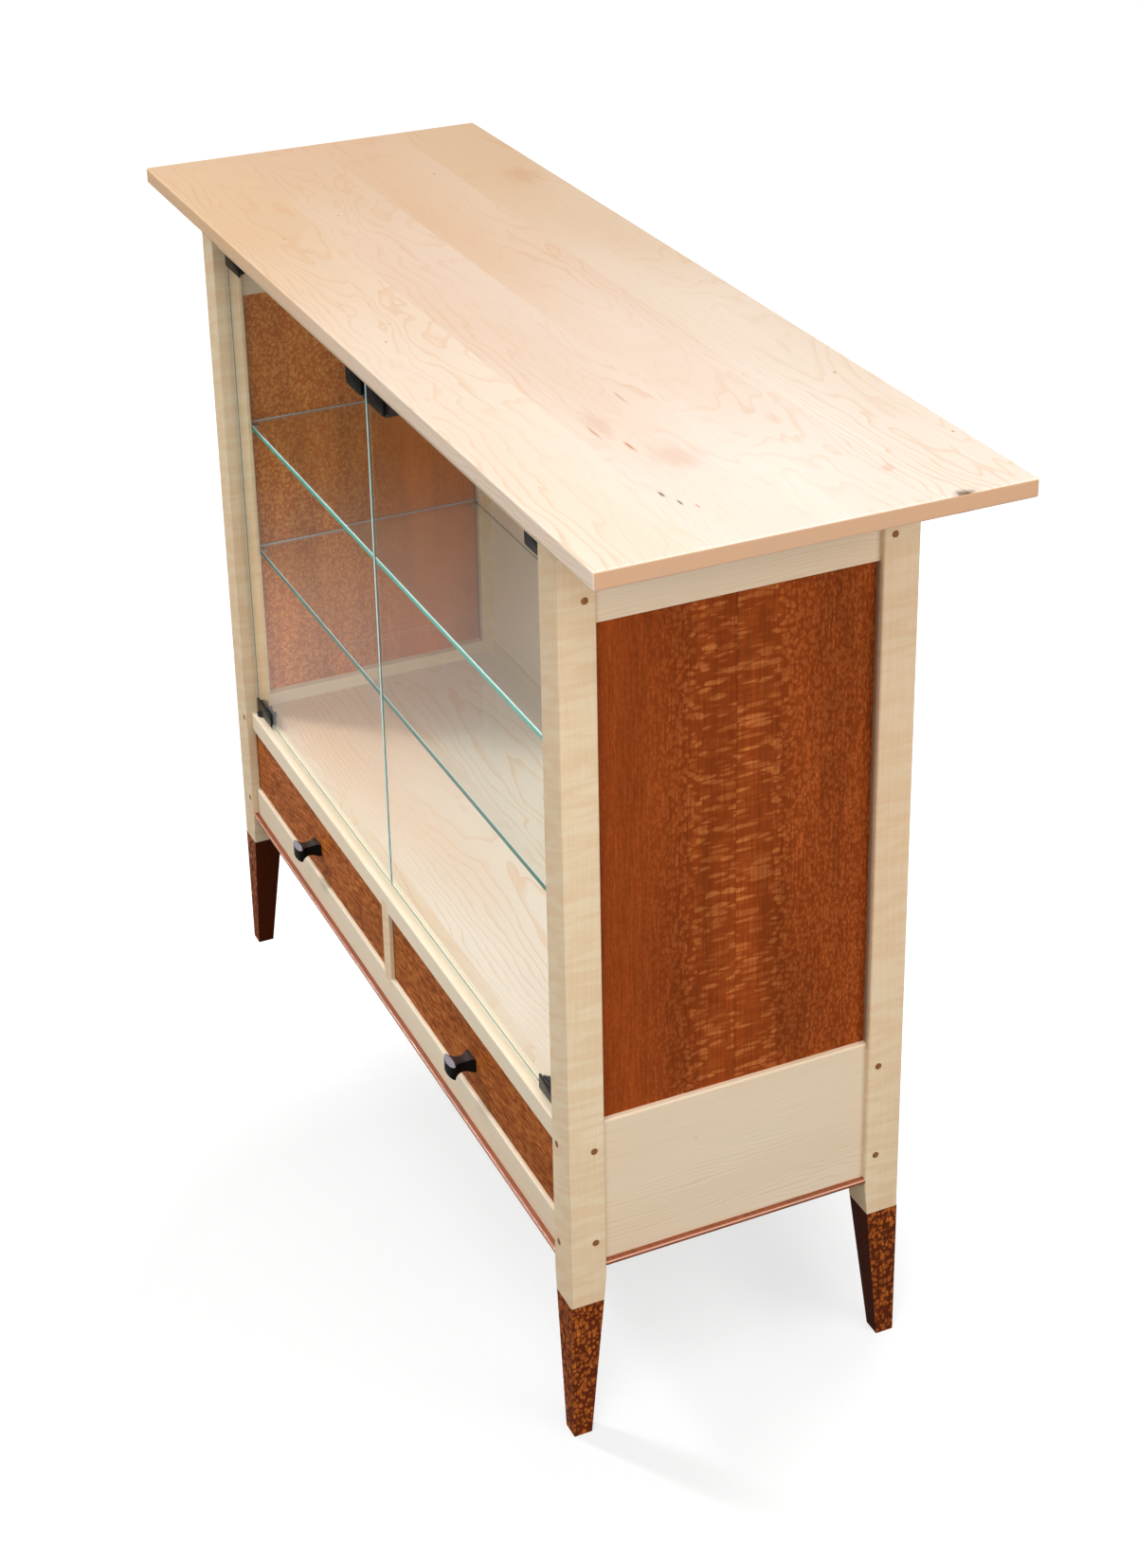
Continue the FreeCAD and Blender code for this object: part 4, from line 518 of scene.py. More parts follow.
def leopardwood(name, lie, wood, ground, ray, cell, height, contrast, outline=0.3, plain=(0.0, 1.0, 1.0),
                streaks=0.2, polish=0.05, rough=(0.46, 0.34), joint=None, left_face=None, crest=None, inside=None):
    """Quartersawn leopardwood, planed and oiled: red-brown, with rays cut through as lighter flecks."""
    # The eye gets lens-shaped flecks square to the grain, round lace where the cut leaves the quarter,
    # dark hollows between them, and a fine streak along the grain over all.
    material, add = new_material(name)
    if left_face:
        # The face towards the cabinet's left end has its own ground and rays. Painted light: the faces inside the
        # cabinet are drawn lighter and more golden than the outer faces, for the light that falls inside it.
        facing_left = add("Math less_than", split(add, "Normal")["X"], 0.0)
        ground = add("MixRGB", facing_left, ground, left_face[0])
        ray = add("MixRGB", facing_left, ray, left_face[1])
    place = split(add, "Object")
    axes = along, across, depth = [place[letter] for letter in LIES[lie]]
    cells_across = add("Math multiply", across, 1 / cell)
    cells_along = add("Math multiply", along, 1 / height)
    if joint is not None:
        from_joint, leaf, band, taken = two_leaves(add, wood, across, joint, cell)
        cells_across = add("Math subtract", cells_across, taken)
        # The second leaf has flecks of its own.
        cells_along = add("Math", cells_along, add("Math multiply", leaf, 17.3))
    cells_deep = add("Math multiply", depth, 1 / cell)
    field = add("CombineXYZ", cells_across, cells_along, cells_deep)
    ripple = add("TexNoise", Vector=field, Scale=0.35)
    field = add("VectorMath add", field, shove(add, ripple, (1.5, 1.5, 0.6)))
    cells = add("TexVoronoi", Vector=field, Scale=1.0, Randomness=0.95)
    chance = add("SeparateColor", cells.outputs["Color"]).outputs
    # Each cell holds a fleck, of its own size and brightness, with a dark hollow round it.
    size = add("MapRange", chance[0], 0.0, 1.0, -0.14, 0.16)
    reach = add("Math", cells.outputs["Distance"], size)
    fleck = add("MapRange", reach, 0.36, 0.60, 1.0, 0.0, **SMOOTH)
    hollow = add("MapRange", reach, 0.46, 0.74, 0.0, outline, **SMOOTH)
    bright = add("MapRange", chance[1], 0.0, 1.0, 0.45, 1.0)
    fleck = add("Math multiply", fleck, bright)
    streak = add("TexNoise", Vector=pattern(add, axes, STREAK), Scale=1.0, Roughness=0.65)
    cloud = add("TexNoise", Vector=pattern(add, axes, CLOUD), Scale=1.0, Detail=3.0)
    start, end, left_over = plain
    amount = add("MapRange", across, start, end, contrast, contrast * left_over, **SMOOTH)
    if joint is not None:
        # Some cells in the band are bare, so the flecks lie in rows with gaps. The lace is fainter.
        bare = add("MapRange", chance[2], 0.22, 0.34, 0.10, 1.0)
        bare = add("MixRGB", band, WHITE, bare)
        fleck = add("Math multiply", fleck, bare)
        lace = add("Math multiply", amount, 0.42)
        amount = add("MixRGB", band, lace, (contrast, contrast, contrast, 1.0))
        hollow = add("Math multiply", hollow, add("MapRange", band, 0.0, 1.0, 1.0, 0.25))
    hollow = add("Math multiply", hollow, amount)
    fleck = add("Math multiply", fleck, amount)
    fleck = add("Math multiply", fleck, add("MapRange", streak, *NOISE, 0.68, 1.2))
    body = add("MixRGB", fleck, ground, ray)
    shade = add("MapRange", streak, 0.28, 0.72, 1.0 - streaks, 1.0 + streaks)
    shades = [add("Math multiply", shade, add("Math subtract", 1.0, hollow)),
              add("MapRange", cloud, *NOISE, 0.82, 1.16)]
    if joint is not None:
        # The glue line is a hair wide and is drawn 1 mm wide.
        glue = add("Math absolute", from_joint)
        shades.append(add("MapRange", glue, 0.0003, 0.0010, 0.72, 1.0))
    for shade in shades:
        body = add("MixRGB multiply", 1.0, body, shade)
    # Painted highlight along the nose, where the light would catch it.
    if crest:
        body = add("MixRGB", painted_nose_highlight(add), body, crest)
    if inside:
        # Painted shade: the faces that look in under the cabinet are drawn almost black, with no rays.
        body = add("MixRGB", painted_shade_inside(add), body, inside)
    finish(add, body, add("MapRange", fleck, 0.0, 1.0, *rough), streak, 0.35, 0.0002, Specular_IOR_Level=polish)
    return material


def float_glass(name, letter, glass, edge_colour, low, high, highlight_from=0.62):
    """Float glass with polished edges: clear through its faces, green along its edges."""
    # The eye gets a clear pane, a thin saturated edge with one bright corner, pale ends, and the room's reflection.
    material, add = new_material(name)
    facing = split(add, "Normal")
    face = add("Math absolute", facing[letter])
    face = add("MapRange", face, 0.90, 0.97, 0.0, 1.0)
    height = add("MapRange", split(add, "Object")[letter], low, high, 0.0, 1.0)
    # Painted highlight: the upper part of the edge takes the arris colour, the light that the polished corner catches.
    crest = add("MapRange", height, highlight_from, 0.92, 0.0, 1.0, **SMOOTH)
    rim = add("MixRGB", crest, edge_colour, glass.arris)
    if letter == "Z":
        # Painted light: the end and back edges of a shelf lie against pale wood and are drawn greyish white for the
        # light they carry from it.
        end = add("Math absolute", facing["X"])
        end = add("Math maximum", end, facing["Y"])
        end = add("MapRange", end, 0.4, 0.8, 0.0, 1.0)
        rim = add("MixRGB", end, rim, glass.end)
    edge = add("BsdfPrincipled", Base_Color=rim, Roughness=0.25, IOR=1.52, Specular_IOR_Level=0.08)
    clear = add("BsdfPrincipled", Base_Color=glass.pane, Roughness=0.0, Transmission_Weight=1.0, IOR=1.52)
    pane = add("MixShader", face, edge, clear)
    # Lamps shine through the pane, so that what stands behind it is lit.
    path = add("LightPath")
    passed = add("BsdfTransparent", glass.shade)
    add("OutputMaterial", add("MixShader", path.outputs["Is Shadow Ray"], pane, passed))
    return material


def ebony(tones, tip):
    """Ebony, carved, filed and waxed: black sides, with a painted reflection that makes the upper facets grey."""
    # The eye gets black sides with fine grain, a light grey painted highlight on the head's sloping face and a dull
    # grey-brown painted sheen on the waist and the other faces that look up.
    material, add = new_material("Ebony, carved and waxed")
    place, facing = split(add, "Object"), split(add, "Normal")
    strands = pattern(add, (place["X"], place["Y"], place["Z"]), EBONY_GRAIN)
    grain = add("TexNoise", Vector=strands, Scale=1.0, Detail=3.0, Roughness=0.6)
    streak = add("MapRange", grain, 0.45, 0.75, 0.0, 1.0, **SMOOTH)
    body = add("MixRGB", streak, tones.black, tones.vein)
    # Painted reflection: the faces that look up are made grey-brown, and the head's sloping face light grey, for the
    # lamps above that they mirror.
    upper = add("MapRange", facing["Z"], 0.55, 0.9, 0.0, 1.0)
    painted_sheen = add("MixRGB", streak, tones.upper_sheen, tones.upper_sheen_vein)
    body = add("MixRGB", upper, body, painted_sheen)
    # The sloping face lies in the last 6 mm before the tip.
    head = add("MapRange", place["Y"], tip + 0.0066, tip + 0.0060, 0.0, 1.0)
    lens = add("MapRange", facing["Y"], -0.16, -0.24, 0.0, 1.0)
    lens = add("Math multiply", add("Math multiply", lens, head), upper)
    body = add("MixRGB", lens, body, tones.head_highlight)
    finish(add, body, add("MapRange", grain, *NOISE, 0.38, 0.50), grain, 0.3, 0.0001, IOR=1.55, Specular_IOR_Level=0.10)
    return material


def black_metal(lacquer):
    """Zinc alloy, die cast and painted black: glossy, with a faint orange-peel ripple."""
    # The eye gets black plates with crisp light edges.
    material, add = new_material("Zinc alloy, cast and black lacquered")
    place = add("TexCoord").outputs["Object"]
    ripple = add("TexNoise", Vector=place, Scale=1 / RIPPLE, Detail=1.0)
    finish(add, lacquer, add("MapRange", ripple, *NOISE, 0.26, 0.38), ripple, 0.12, 0.0001, Specular_IOR_Level=0.3)
    return material


def turned_steel(treatment, tone, rough):
    """Steel, turned: turning marks half a millimetre apart, under a finish that gives it its colour."""
    # The eye gets a metal whose gloss changes in fine bands.
    material, add = new_material("Steel, turned and " + treatment)
    place = add("TexCoord").outputs["Object"]
    marks = add("TexNoise", Vector=place, Scale=1 / TURNING, Detail=1.0)
    gloss = add("MapRange", marks, *NOISE, *rough)
    add("OutputMaterial", add("BsdfPrincipled", Base_Color=tone, Roughness=gloss, Metallic=1.0))
    return material


def moulded(name, dark, light, rough):
    """Thermoplastic, moulded with a fine spark-eroded texture: even colour and a dull gloss."""
    # The eye gets a fine grain at the edge of sight.
    material, add = new_material(name)
    place = add("TexCoord").outputs["Object"]
    grit = add("TexNoise", Vector=place, Scale=1 / GRIT, Detail=1.0)
    finish(add, add("MixRGB", grit, dark, light), rough, grit, 0.2, 0.0001, IOR=1.46)
    return material


def plate(shape, outline, low, high, axis, ease=0.0):
    """Adds to the mesh a plate: an outline pushed from low to high along an axis, with its edges eased."""
    place = "XYZ".index(axis)
    rings = []
    for level in (low, high):
        ring = []
        for corner in outline:
            point = list(corner)
            point.insert(place, level)
            ring.append(shape.verts.new(point))
        rings.append(ring)
    caps = [shape.faces.new(ring) for ring in rings]
    walls = [shape.faces.new((rings[0][at - 1], rings[0][at], rings[1][at], rings[1][at - 1]))
             for at in range(len(outline))]
    bmesh.ops.recalc_face_normals(shape, faces=caps + walls)
    if ease:
        rim = [edge for cap in caps for edge in cap.edges]
        bmesh.ops.bevel(shape, geom=rim, offset=ease, segments=2, profile=0.5, affect="EDGES", clamp_overlap=True)


def skin(shape, rings):
    """Joins rings of vertices to a closed skin with a cap at each end, and gives its faces."""
    faces = [shape.faces.new(rings[0]), shape.faces.new(rings[-1])]
    for first, second in zip(rings, rings[1:]):
        faces += [shape.faces.new((first[at - 1], first[at], second[at], second[at - 1])) for at in range(len(first))]
    bmesh.ops.recalc_face_normals(shape, faces=faces)
    return faces


def rounded(low_a, high_a, low_b, high_b, radii):
    """A rectangle's outline, with a radius for each corner, from low a and low b round by high a."""
    steps = 6
    corners = ((low_a, low_b, 1, 1), (high_a, low_b, -1, 1), (high_a, high_b, -1, -1), (low_a, high_b, 1, -1))
    outline = []
    for number, (a, b, inward_a, inward_b) in enumerate(corners):
        radius = radii[number]
        for step in range(steps + 1):
            turn = math.radians(90) * (step / steps + number + 2)
            outline.append((a + inward_a * radius + radius * math.cos(turn),
                            b + inward_b * radius + radius * math.sin(turn)))
    return outline


def socket_screw(shape, x, z, base, top, radius, socket):
    """Adds to the mesh a screw along Y with a hexagon socket in its head, and gives its faces."""
    sides, sixth = 30, math.pi / 3
    deepest, of_height = 0.0012, 0.6
    into = math.copysign(min(deepest, abs(top - base) * of_height), base - top)
    chamfer_start, chamfer_end = top + into * 0.25, radius * 0.88
    rings = []
    for level, reach, is_socket in ((base, radius, False), (chamfer_start, radius, False), (top, chamfer_end, False),
                                    (top, socket, True), (top + into, socket, True)):
        ring = []
        for step in range(sides):
            turn = 2 * math.pi * step / sides
            size = reach / math.cos((turn + sixth / 2) % sixth - sixth / 2) if is_socket else reach
            ring.append(shape.verts.new((x + size * math.cos(turn), level, z + size * math.sin(turn))))
        rings.append(ring)
    return skin(shape, rings)


def piece(name, shape, materials, body, slot, *stands_for):
    """Makes the mesh a piece of the cabinet that rides on a body and stands for CAD nodes."""
    mesh = bpy.data.meshes.new(name)
    shape.to_mesh(mesh)
    shape.free()
    mesh.shade_smooth()
    mesh.set_sharp_from_angle(angle=SHARP)
    for material in materials:
        mesh.materials.append(material)
    made = bpy.data.objects.new(name, mesh)
    bpy.context.scene.collection.objects.link(made)
    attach(made, body)
    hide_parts(*stands_for)


class CABINET_OT_maple_case(bpy.types.Operator):
    """Dress the top, posts, rails, floor and back in maple"""
    bl_idname = "cabinet.maple_case"
    bl_label = "Maple case"

    def execute(self, context):
        wood = context.scene.cabinet_maple
        top = maple("Maple, glued up, scraped and oiled", "flat", wood, wood.sapwood, 0.0, 0.40, 0.038, 0.9, 0.78,
                    stave=wood.stave, stains=TOP_STAINS, blush_at_left=0.95)
        dress(top, "top")
        # The posts take a line of painted shade where they meet this end panel.
        low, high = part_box("end_panel_right")
        posts = maple("Curly maple, planed and oiled", "upright", wood, wood.post, 0.15, 0.12, 0.010, 0.25, -0.11,
                      curl=0.27, panel=(low[0], high[0], low[2], high[2]))
        dress(posts, "post_*", "drawer_divider")
        for name, lie, pale, *figure, stave, pieces in MAPLE_BOARDS:
            dress(maple(name, lie, wood, getattr(wood, pale), *figure, stave=stave), *pieces)
        return {"FINISHED"}


def bead_strips(low, high, bead):
    """The beads under the front rail and the two end rails, each with a half-round nose, as one mesh."""
    steps = 12
    radius = bead.height / 2
    middle = high[2] - radius
    turns = [math.radians(180) * step / steps for step in range(steps + 1)]
    shape = bmesh.new()
    inner = low[1] + bead.depth
    nose = [(low[1] + radius - radius * math.sin(turn), middle + radius * math.cos(turn)) for turn in turns]
    plate(shape, nose + [(inner, middle - radius), (inner, middle + radius)], low[0] + bead.post,
          high[0] - bead.post, "X")
    for side in (-1, 1):
        inner = (high[0] - bead.depth) * side
        nose = [((high[0] - radius + radius * math.sin(turn)) * side, middle + radius * math.cos(turn))
                for turn in turns]
        plate(shape, nose + [(inner, middle - radius), (inner, middle + radius)], low[1] + bead.post, high[1], "Y")
    return shape


class CABINET_OT_leopardwood(bpy.types.Operator):
    """Dress the end panels, feet, pegs and drawer fronts, and make the beads"""
    bl_idname = "cabinet.leopardwood"
    bl_label = "Leopardwood"

    def execute(self, context):
        wood = context.scene.cabinet_leopardwood
        golden_lit, red = (wood.inner_lit_ground, wood.inner_lit_ray), (wood.ground, wood.ray)
        right = leopardwood("Leopardwood, two leaves, oiled", "panel", wood, *red, cell=wood.lace,
                            height=wood.fleck_height, contrast=0.75, outline=0.5, plain=(-0.045, -0.105, 0.3),
                            streaks=0.26, joint=-0.004, left_face=golden_lit)
        dress(right, "end_panel_right")
        left = leopardwood("Leopardwood, off the quarter, oiled", "panel", wood, *golden_lit, cell=0.0030,
                           height=0.0038, contrast=0.5, outline=0.35, plain=(-0.02, 0.05, 0.25), streaks=0.12,
                           left_face=red)
        dress(left, "end_panel_left")
        drawers = leopardwood("Leopardwood of the drawer fronts, oiled", "rail", wood, wood.drawer_ground,
                              wood.drawer_ray, cell=0.0011, height=0.0110, contrast=0.72, outline=0.55)
        dress(drawers, "drawer_*_front")
        feet = leopardwood("Leopardwood of the feet, oiled", "upright", wood, wood.foot_ground, wood.foot_ray,
                           cell=0.0040, height=0.0050, contrast=0.9, inside=wood.foot_inside_shade)
        dress(feet, "foot_*")
        beads = leopardwood("Leopardwood of the beads, oiled", "flat", wood, wood.bead_ground, wood.bead_ray,
                            cell=0.0022, height=0.020, contrast=0.35, polish=0.5, rough=(0.36, 0.30),
                            crest=wood.bead_highlight)
        shape = bead_strips(*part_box("beads"), context.scene.cabinet_bead)
        piece("bead_strips", shape, [beads], "carcase", "leopardwood", "beads")
        pegs = leopardwood("Walnut, pegs, pared flush and oiled", "upright", wood, wood.peg_ground, wood.peg_ray,
                           cell=0.0010, height=0.0010, contrast=0.5)
        dress(pegs, "joint_pegs")
        return {"FINISHED"}


class CABINET_OT_glass(bpy.types.Operator):
    """Dress the doors and shelves in float glass"""
    bl_idname = "cabinet.glass"
    bl_label = "Glass"

    def execute(self, context):
        glass = context.scene.cabinet_glass
        # The lower shelf's edge is painted shade: a darker green and a smaller painted highlight.
        for name, edge, highlight_from in (("shelf_upper", glass.edge, 0.45), ("shelf_lower", glass.shaded_edge, 0.80)):
            low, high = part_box(name)
            dress(float_glass("Float glass, polished edges, " + name.replace("_", " "), "Z", glass, edge,
                              low[2], high[2], highlight_from), name)
        low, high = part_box("door_left_glass")
        doors = float_glass("Float glass of the doors, polished edges", "Y", glass, glass.door_edge, high[1], low[1])
        dress(doors, "door_*_glass")
        return {"FINISHED"}


class CABINET_OT_pulls(bpy.types.Operator):
    """Carve the two ebony pulls: waisted, hollowed over and under, with a sloping lens-shaped face on the head"""
    bl_idname = "cabinet.pulls"
    bl_label = "Pulls"

    def execute(self, context):
        pulls = context.scene.cabinet_pulls
        wood = ebony(pulls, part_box("drawer_left_pull")[0][1])
        for side in ("left", "right"):
            shape = carved_pull(pulls, *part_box(f"drawer_{side}_pull"))
            piece(f"pull_{side}", shape, [wood], f"drawer_{side}", "ebony", f"drawer_{side}_pull")
        return {"FINISHED"}


def carved_pull(pulls, low, high):
    """One pull in its box, as rings of vertices from the drawer's face out to the head."""
    shank_steps, crown_steps, half_steps = 44, 14, 7
    cove_start, last_ring = 0.004, 0.0004
    middle_x, middle_z = (low[0] + high[0]) / 2, (low[2] + high[2]) / 2
    half_head, half_height = (high[0] - low[0]) / 2, (high[2] - low[2]) / 2
    reach = high[1] - low[1]
    waist, base, thin = pulls.waist / 2, pulls.base / 2, pulls.waist_reach
    shoulder = reach - pulls.crown
    # The plan is one arc from the base to the waist, another from there to the shoulder, and half an ellipse.
    near = ((base - waist) ** 2 + thin ** 2) / (2 * (base - waist))
    flare = ((half_head - waist) ** 2 + (shoulder - thin) ** 2) / (2 * (half_head - waist))
    stations = [shoulder * step / shank_steps for step in range(shank_steps + 1)]
    stations += [reach - pulls.crown * math.cos(math.radians(90) * step / crown_steps)
                 for step in range(1, crown_steps)]
    stations += [reach - pulls.crown * last_ring]
    shape = bmesh.new()
    rings = []
    for out in stations:
        if out <= thin:
            half = waist + near - math.sqrt(near ** 2 - (thin - out) ** 2)
        elif out <= shoulder:
            half = waist + flare - math.sqrt(flare ** 2 - (out - thin) ** 2)
        else:
            half = half_head * math.sqrt(max(0.0, 1 - ((out - shoulder) / pulls.crown) ** 2))
        upper, lower = [], []
        for step in range(-half_steps, half_steps + 1):
            x = half * step / half_steps
            # The sloping face starts at a crest, which runs back from the shoulder in a curve.
            crest = shoulder - pulls.facet * (1 - (x / half_head) ** 2)
            span = crest - thin if out > thin else thin - cove_start
            share = min(1.0, abs(out - thin) / span)
            thick = half_height - pulls.cove * (1 - share ** 2)
            upper.append((x, thick - max(0.0, out - crest) * pulls.slope))
            lower.append((x, -thick))
        rings.append([shape.verts.new((middle_x + x, high[1] - out, middle_z + z)) for x, z in upper + lower[::-1]])
    skin(shape, rings)
    return shape


class CABINET_OT_clamps(bpy.types.Operator):
    """Make the pivot clamps: two plates round the glass edge, gripped by three socket screws in a scalloped bar"""
    bl_idname = "cabinet.clamps"
    bl_label = "Pivot clamps"

    def execute(self, context):
        clamps = context.scene.cabinet_clamps
        lacquer = black_metal(clamps.lacquer)
        blacked = turned_steel("blackened", clamps.blacked, (0.28, 0.42))
        for side in ("left", "right"):
            shape = bmesh.new()
            box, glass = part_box(f"door_{side}_clamps"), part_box(f"door_{side}_glass")
            screw_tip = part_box(f"door_{side}_clamp_screws")[1][1]
            screws = []
            for number, up in ((0, 1), (1, -1)):
                screws += clamp(shape, clamps, box, glass, screw_tip, box[number][2], glass[number][2], up)
            for face in screws:
                face.material_index = 1
            piece(f"clamps_{side}", shape, [lacquer, blacked], f"door_{side}", "black_hardware",
                  f"door_{side}_clamps", f"door_{side}_clamp_screws")
        return {"FINISHED"}


def clamp(shape, clamps, box, glass, screw_tip, far, edge, up):
    """Adds to the mesh one clamp, from its far side over the glass edge, and gives the faces of its screws."""
    (low_x, low_y, _), (high_x, high_y, _) = box
    front, back = glass[0][1], glass[1][1]
    radii = [SMALL] * 2 + [clamps.corner] * 2
    if up < 0:
        radii.reverse()
    outline = rounded(low_x, high_x, *sorted((far, edge + up * clamps.reach)), radii)
    plate(shape, outline, low_y, front, "Y", PLATE_EASE)
    web = rounded(low_x, high_x, *sorted((far, edge)), [CLAMP_WEB] * 4)
    plate(shape, web, low_y + WEB_BACK, high_y, "Y", WEB_EASE)
    # The bar behind the glass is scalloped round its three screws, and keeps a lean strip between them.
    steps = 96
    middle, rise = (low_x + high_x) / 2, edge + up * clamps.screw_rise
    places = [middle + clamps.pitch * step for step in (-1, 0, 1)]
    bar = []
    for step in range(steps + 1):
        x = low_x + (high_x - low_x) * step / steps
        lobe = max(clamps.lobe ** 2 - min((x - at) ** 2 for at in places), 0.0)
        bar.append((x, rise + up * max(math.sqrt(lobe), BAR_LEAN)))
    plate(shape, bar + [(high_x, edge), (low_x, edge)], back, high_y, "Y", PLATE_EASE)
    screws = []
    for x in places:
        screws += socket_screw(shape, x, rise, high_y - SCREW_SUNK, screw_tip, clamps.head / 2, clamps.socket / 2)
    return screws


class CABINET_OT_strikes(bpy.types.Operator):
    """Make the strike clips that sit over the top edge of each door"""
    bl_idname = "cabinet.strikes"
    bl_label = "Strikes"

    def execute(self, context):
        clamps = context.scene.cabinet_clamps
        lacquer = black_metal(clamps.lacquer)
        for side in ("left", "right"):
            shape = bmesh.new()
            low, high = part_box(f"door_{side}_strike")
            glass_low, glass_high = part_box(f"door_{side}_glass")
            outline = rounded(low[0], high[0], low[2], high[2], [clamps.corner] * 2 + [SMALL] * 2)
            plate(shape, outline, low[1], glass_low[1], "Y", PLATE_EASE)
            plate(shape, outline, glass_high[1], high[1], "Y", PLATE_EASE)
            over = rounded(low[0], high[0], glass_high[2], high[2], [STRIKE_WEB] * 4)
            plate(shape, over, low[1] + WEB_BACK, high[1] - WEB_BACK, "Y", WEB_EASE)
            piece(f"strike_{side}", shape, [lacquer], f"door_{side}", "black_hardware", f"door_{side}_strike")
        return {"FINISHED"}


class CABINET_OT_hardware(bpy.types.Operator):
    """Dress the latch, pins and screws"""
    bl_idname = "cabinet.hardware"
    bl_label = "Latch, pins and screws"

    def execute(self, context):
        tones = context.scene.cabinet_hardware
        dress(moulded("ABS, moulded charcoal", tones.latch, tones.latch_light, 0.42), "latch_body", "latch_plunger_*")
        dress(moulded("Nylon, moulded black", tones.bush, tones.bush_light, 0.38), "pivot_bushes")
        dress(turned_steel("nickel plated", tones.nickel, (0.20, 0.34)), "shelf_pins", "door_*_pivot_pins",
              "carcase_screws", "drawer_*_pull_screw")
        return {"FINISHED"}


def followed_rays(add):
    """One on rays that the eye follows, through glass and mirrors too, and one on rays that a mirror has turned."""
    path = add("LightPath").outputs
    seen = add("Math maximum", path["Is Camera Ray"], path["Is Transmission Ray"])
    seen = add("Math maximum", seen, path["Is Glossy Ray"])
    return seen, add("Math minimum", path["Glossy Depth"], 1.0)


def paper(stage):
    """Paper, matt white, rolled out: white to the eye, with the object's shadow on it, partly from the lamps and partly
    painted.
    """
    # The eye gets a plain white with a soft shadow, deepened by painted shadow round the cabinet. The lamps light a
    # darker paper, so that it never burns out.
    material, add = new_material("Paper, matt white, rolled out")
    seen, mirrored = followed_rays(add)
    place = add("VectorMath distance", add("TexCoord").outputs["Object"], (0.25, -0.20, 0.0)).outputs["Value"]
    # Painted light: what glass and metal mirror of the paper dims with distance, as the lamps' pool of light does.
    near = add("MapRange", place, 0.55, 1.0, 0.20, 0.30, **SMOOTH)
    far = add("MapRange", place, 1.2, 2.2, 1.0, 0.12, **SMOOTH)
    pool = add("Math multiply", near, far)
    share = add("MapRange", mirrored, 0.0, 1.0, 1.0, pool)
    # Painted shadow: the white that the eye sees falls to the floor-white value round the cabinet, where its shadow
    # lies.
    white = add("MapRange", place, 0.30, 0.62, stage.glow_with_painted_shadow, 1.0, **SMOOTH)
    glow_with_painted_shadow = add("Emission", WHITE, add("Math multiply", seen, white))
    lit = add("AddShader", add("BsdfDiffuse", stage.floor), glow_with_painted_shadow)
    add("OutputMaterial", add("MixShader", share, add("BsdfDiffuse", BLACK), lit))
    return material


def white_room(context):
    """Makes a world that is white to the eye, a little less so in mirrors, and lights the cabinet softly."""
    world = bpy.data.worlds.new("Studio")
    context.scene.world = world
    add = emptied(world)
    seen, mirrored = followed_rays(add)
    share = add("MapRange", mirrored, 0.0, 1.0, 1.0, 0.8)
    seen = add("Math multiply", seen, share)
    strength = add("MapRange", seen, 0.0, 1.0, 0.20, 1.0)
    add("OutputWorld", add("Background", WHITE, strength))


def hang_lamps(context):
    """Hangs the softboxes and lamps round the cabinet."""
    for name, place, aim, wide, high, spread, power in LAMPS:
        data = bpy.data.lights.new(name, "AREA")
        data.shape = "RECTANGLE"
        data.size = wide
        data.size_y = high
        data.spread = math.radians(spread)
        data.energy = power
        lamp = bpy.data.objects.new(name, data)
        lamp.location = place
        lamp.rotation_euler = (Vector(aim) - Vector(place)).to_track_quat("-Z", "Y").to_euler()
        context.scene.collection.objects.link(lamp)


def set_camera(context, stage):
    """Sets up the camera as the photograph's perspective asks."""
    lens = bpy.data.cameras.new("camera")
    lens.sensor_width = 36
    lens.lens = stage.lens
    lens.shift_y = stage.rise
    lens.clip_start = 0.05
    lens.clip_end = 60
    camera = bpy.data.objects.new("camera", lens)
    around, up, turn = stage.azimuth, stage.elevation, stage.roll
    back = Vector((math.sin(around) * math.cos(up), -math.cos(around) * math.cos(up), math.sin(up)))
    right = Vector((math.cos(around), math.sin(around), 0))
    over = back.cross(right)
    columns = (right * math.cos(turn) + over * math.sin(turn), over * math.cos(turn) - right * math.sin(turn), back)
    matrix = Matrix(columns).transposed().to_4x4()
    matrix.translation = Vector(stage.place)
    camera.matrix_world = matrix
    context.scene.collection.objects.link(camera)
    context.scene.camera = camera


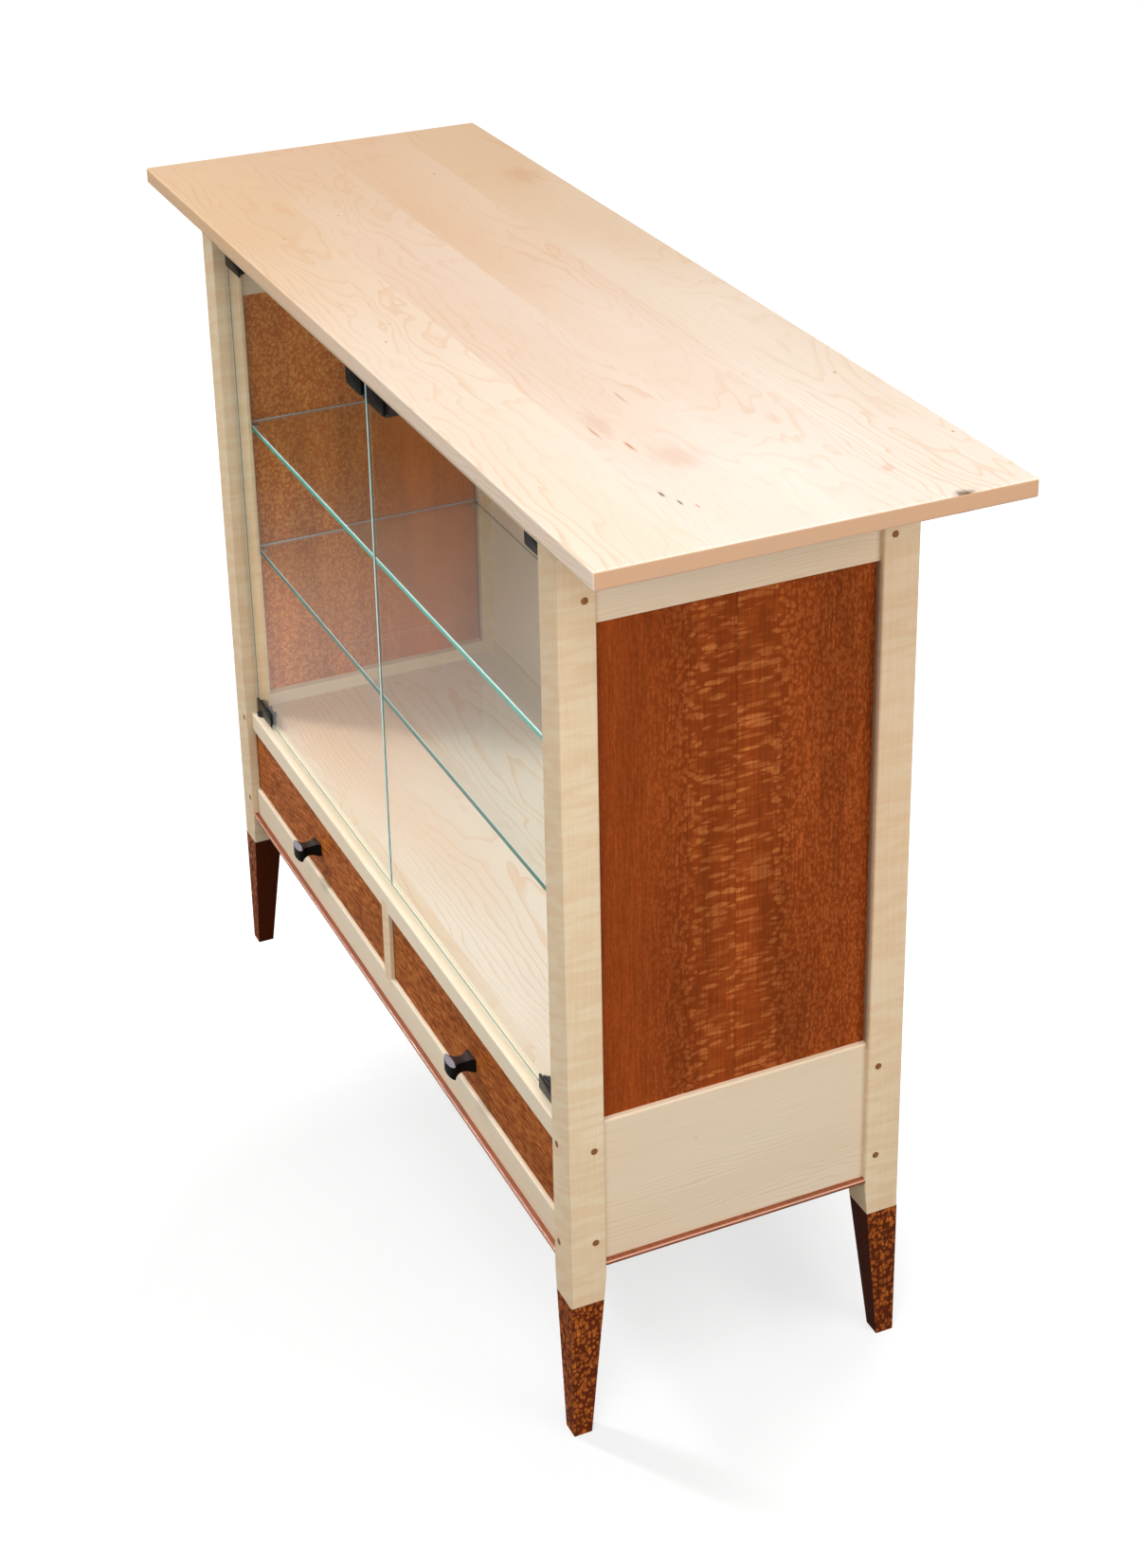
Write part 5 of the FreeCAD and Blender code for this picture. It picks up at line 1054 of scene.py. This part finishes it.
class CABINET_OT_stage(bpy.types.Operator):
    """Set up the white floor, the soft light and the camera"""
    bl_idname = "cabinet.stage"
    bl_label = "Stage"

    def execute(self, context):
        stage = context.scene.cabinet_stage
        half_side = 14
        shape = bmesh.new()
        bmesh.ops.create_grid(shape, x_segments=1, y_segments=1, size=half_side)
        mesh = bpy.data.meshes.new("floor")
        shape.to_mesh(mesh)
        shape.free()
        floor = bpy.data.objects.new("floor", mesh)
        context.scene.collection.objects.link(floor)
        mesh.materials.append(paper(stage))
        white_room(context)
        hang_lamps(context)
        set_camera(context, stage)
        context.scene.view_settings.view_transform = "Standard"
        return {"FINISHED"}


class CABINET_PT_panel(bpy.types.Panel):
    """Lists the steps that dress the cabinet"""
    bl_idname = "CABINET_PT_panel"
    bl_label = "Display cabinet"
    bl_space_type = "VIEW_3D"
    bl_region_type = "UI"
    bl_category = "Cabinet"

    def draw(self, context):
        for operator in OPERATORS:
            self.layout.operator(operator.bl_idname)
        for group in GROUPS:
            values = getattr(context.scene, group)
            box = self.layout.box()
            for name in values.__annotations__:
                box.prop(values, name)


GROUPS = {
    "cabinet_maple": MapleProperties,
    "cabinet_leopardwood": LeopardwoodProperties,
    "cabinet_glass": GlassProperties,
    "cabinet_bead": BeadProperties,
    "cabinet_pulls": PullProperties,
    "cabinet_clamps": ClampProperties,
    "cabinet_hardware": HardwareProperties,
    "cabinet_stage": StageProperties,
}
OPERATORS = (
    CABINET_OT_maple_case,
    CABINET_OT_leopardwood,
    CABINET_OT_glass,
    CABINET_OT_pulls,
    CABINET_OT_clamps,
    CABINET_OT_strikes,
    CABINET_OT_hardware,
    CABINET_OT_stage,
)


def register():
    for kind in (*GROUPS.values(), *OPERATORS, CABINET_PT_panel):
        bpy.utils.register_class(kind)
    for name, kind in GROUPS.items():
        setattr(bpy.types.Scene, name, bpy.props.PointerProperty(type=kind))


def unregister():
    for name in GROUPS:
        delattr(bpy.types.Scene, name)
    for kind in (CABINET_PT_panel, *reversed(OPERATORS), *reversed(list(GROUPS.values()))):
        bpy.utils.unregister_class(kind)


def main():
    register()
    bpy.ops.cabinet.maple_case()
    bpy.ops.cabinet.leopardwood()
    bpy.ops.cabinet.glass()
    bpy.ops.cabinet.pulls()
    bpy.ops.cabinet.clamps()
    bpy.ops.cabinet.strikes()
    bpy.ops.cabinet.hardware()
    bpy.ops.cabinet.stage()


if __name__ == "__main__":
    main()
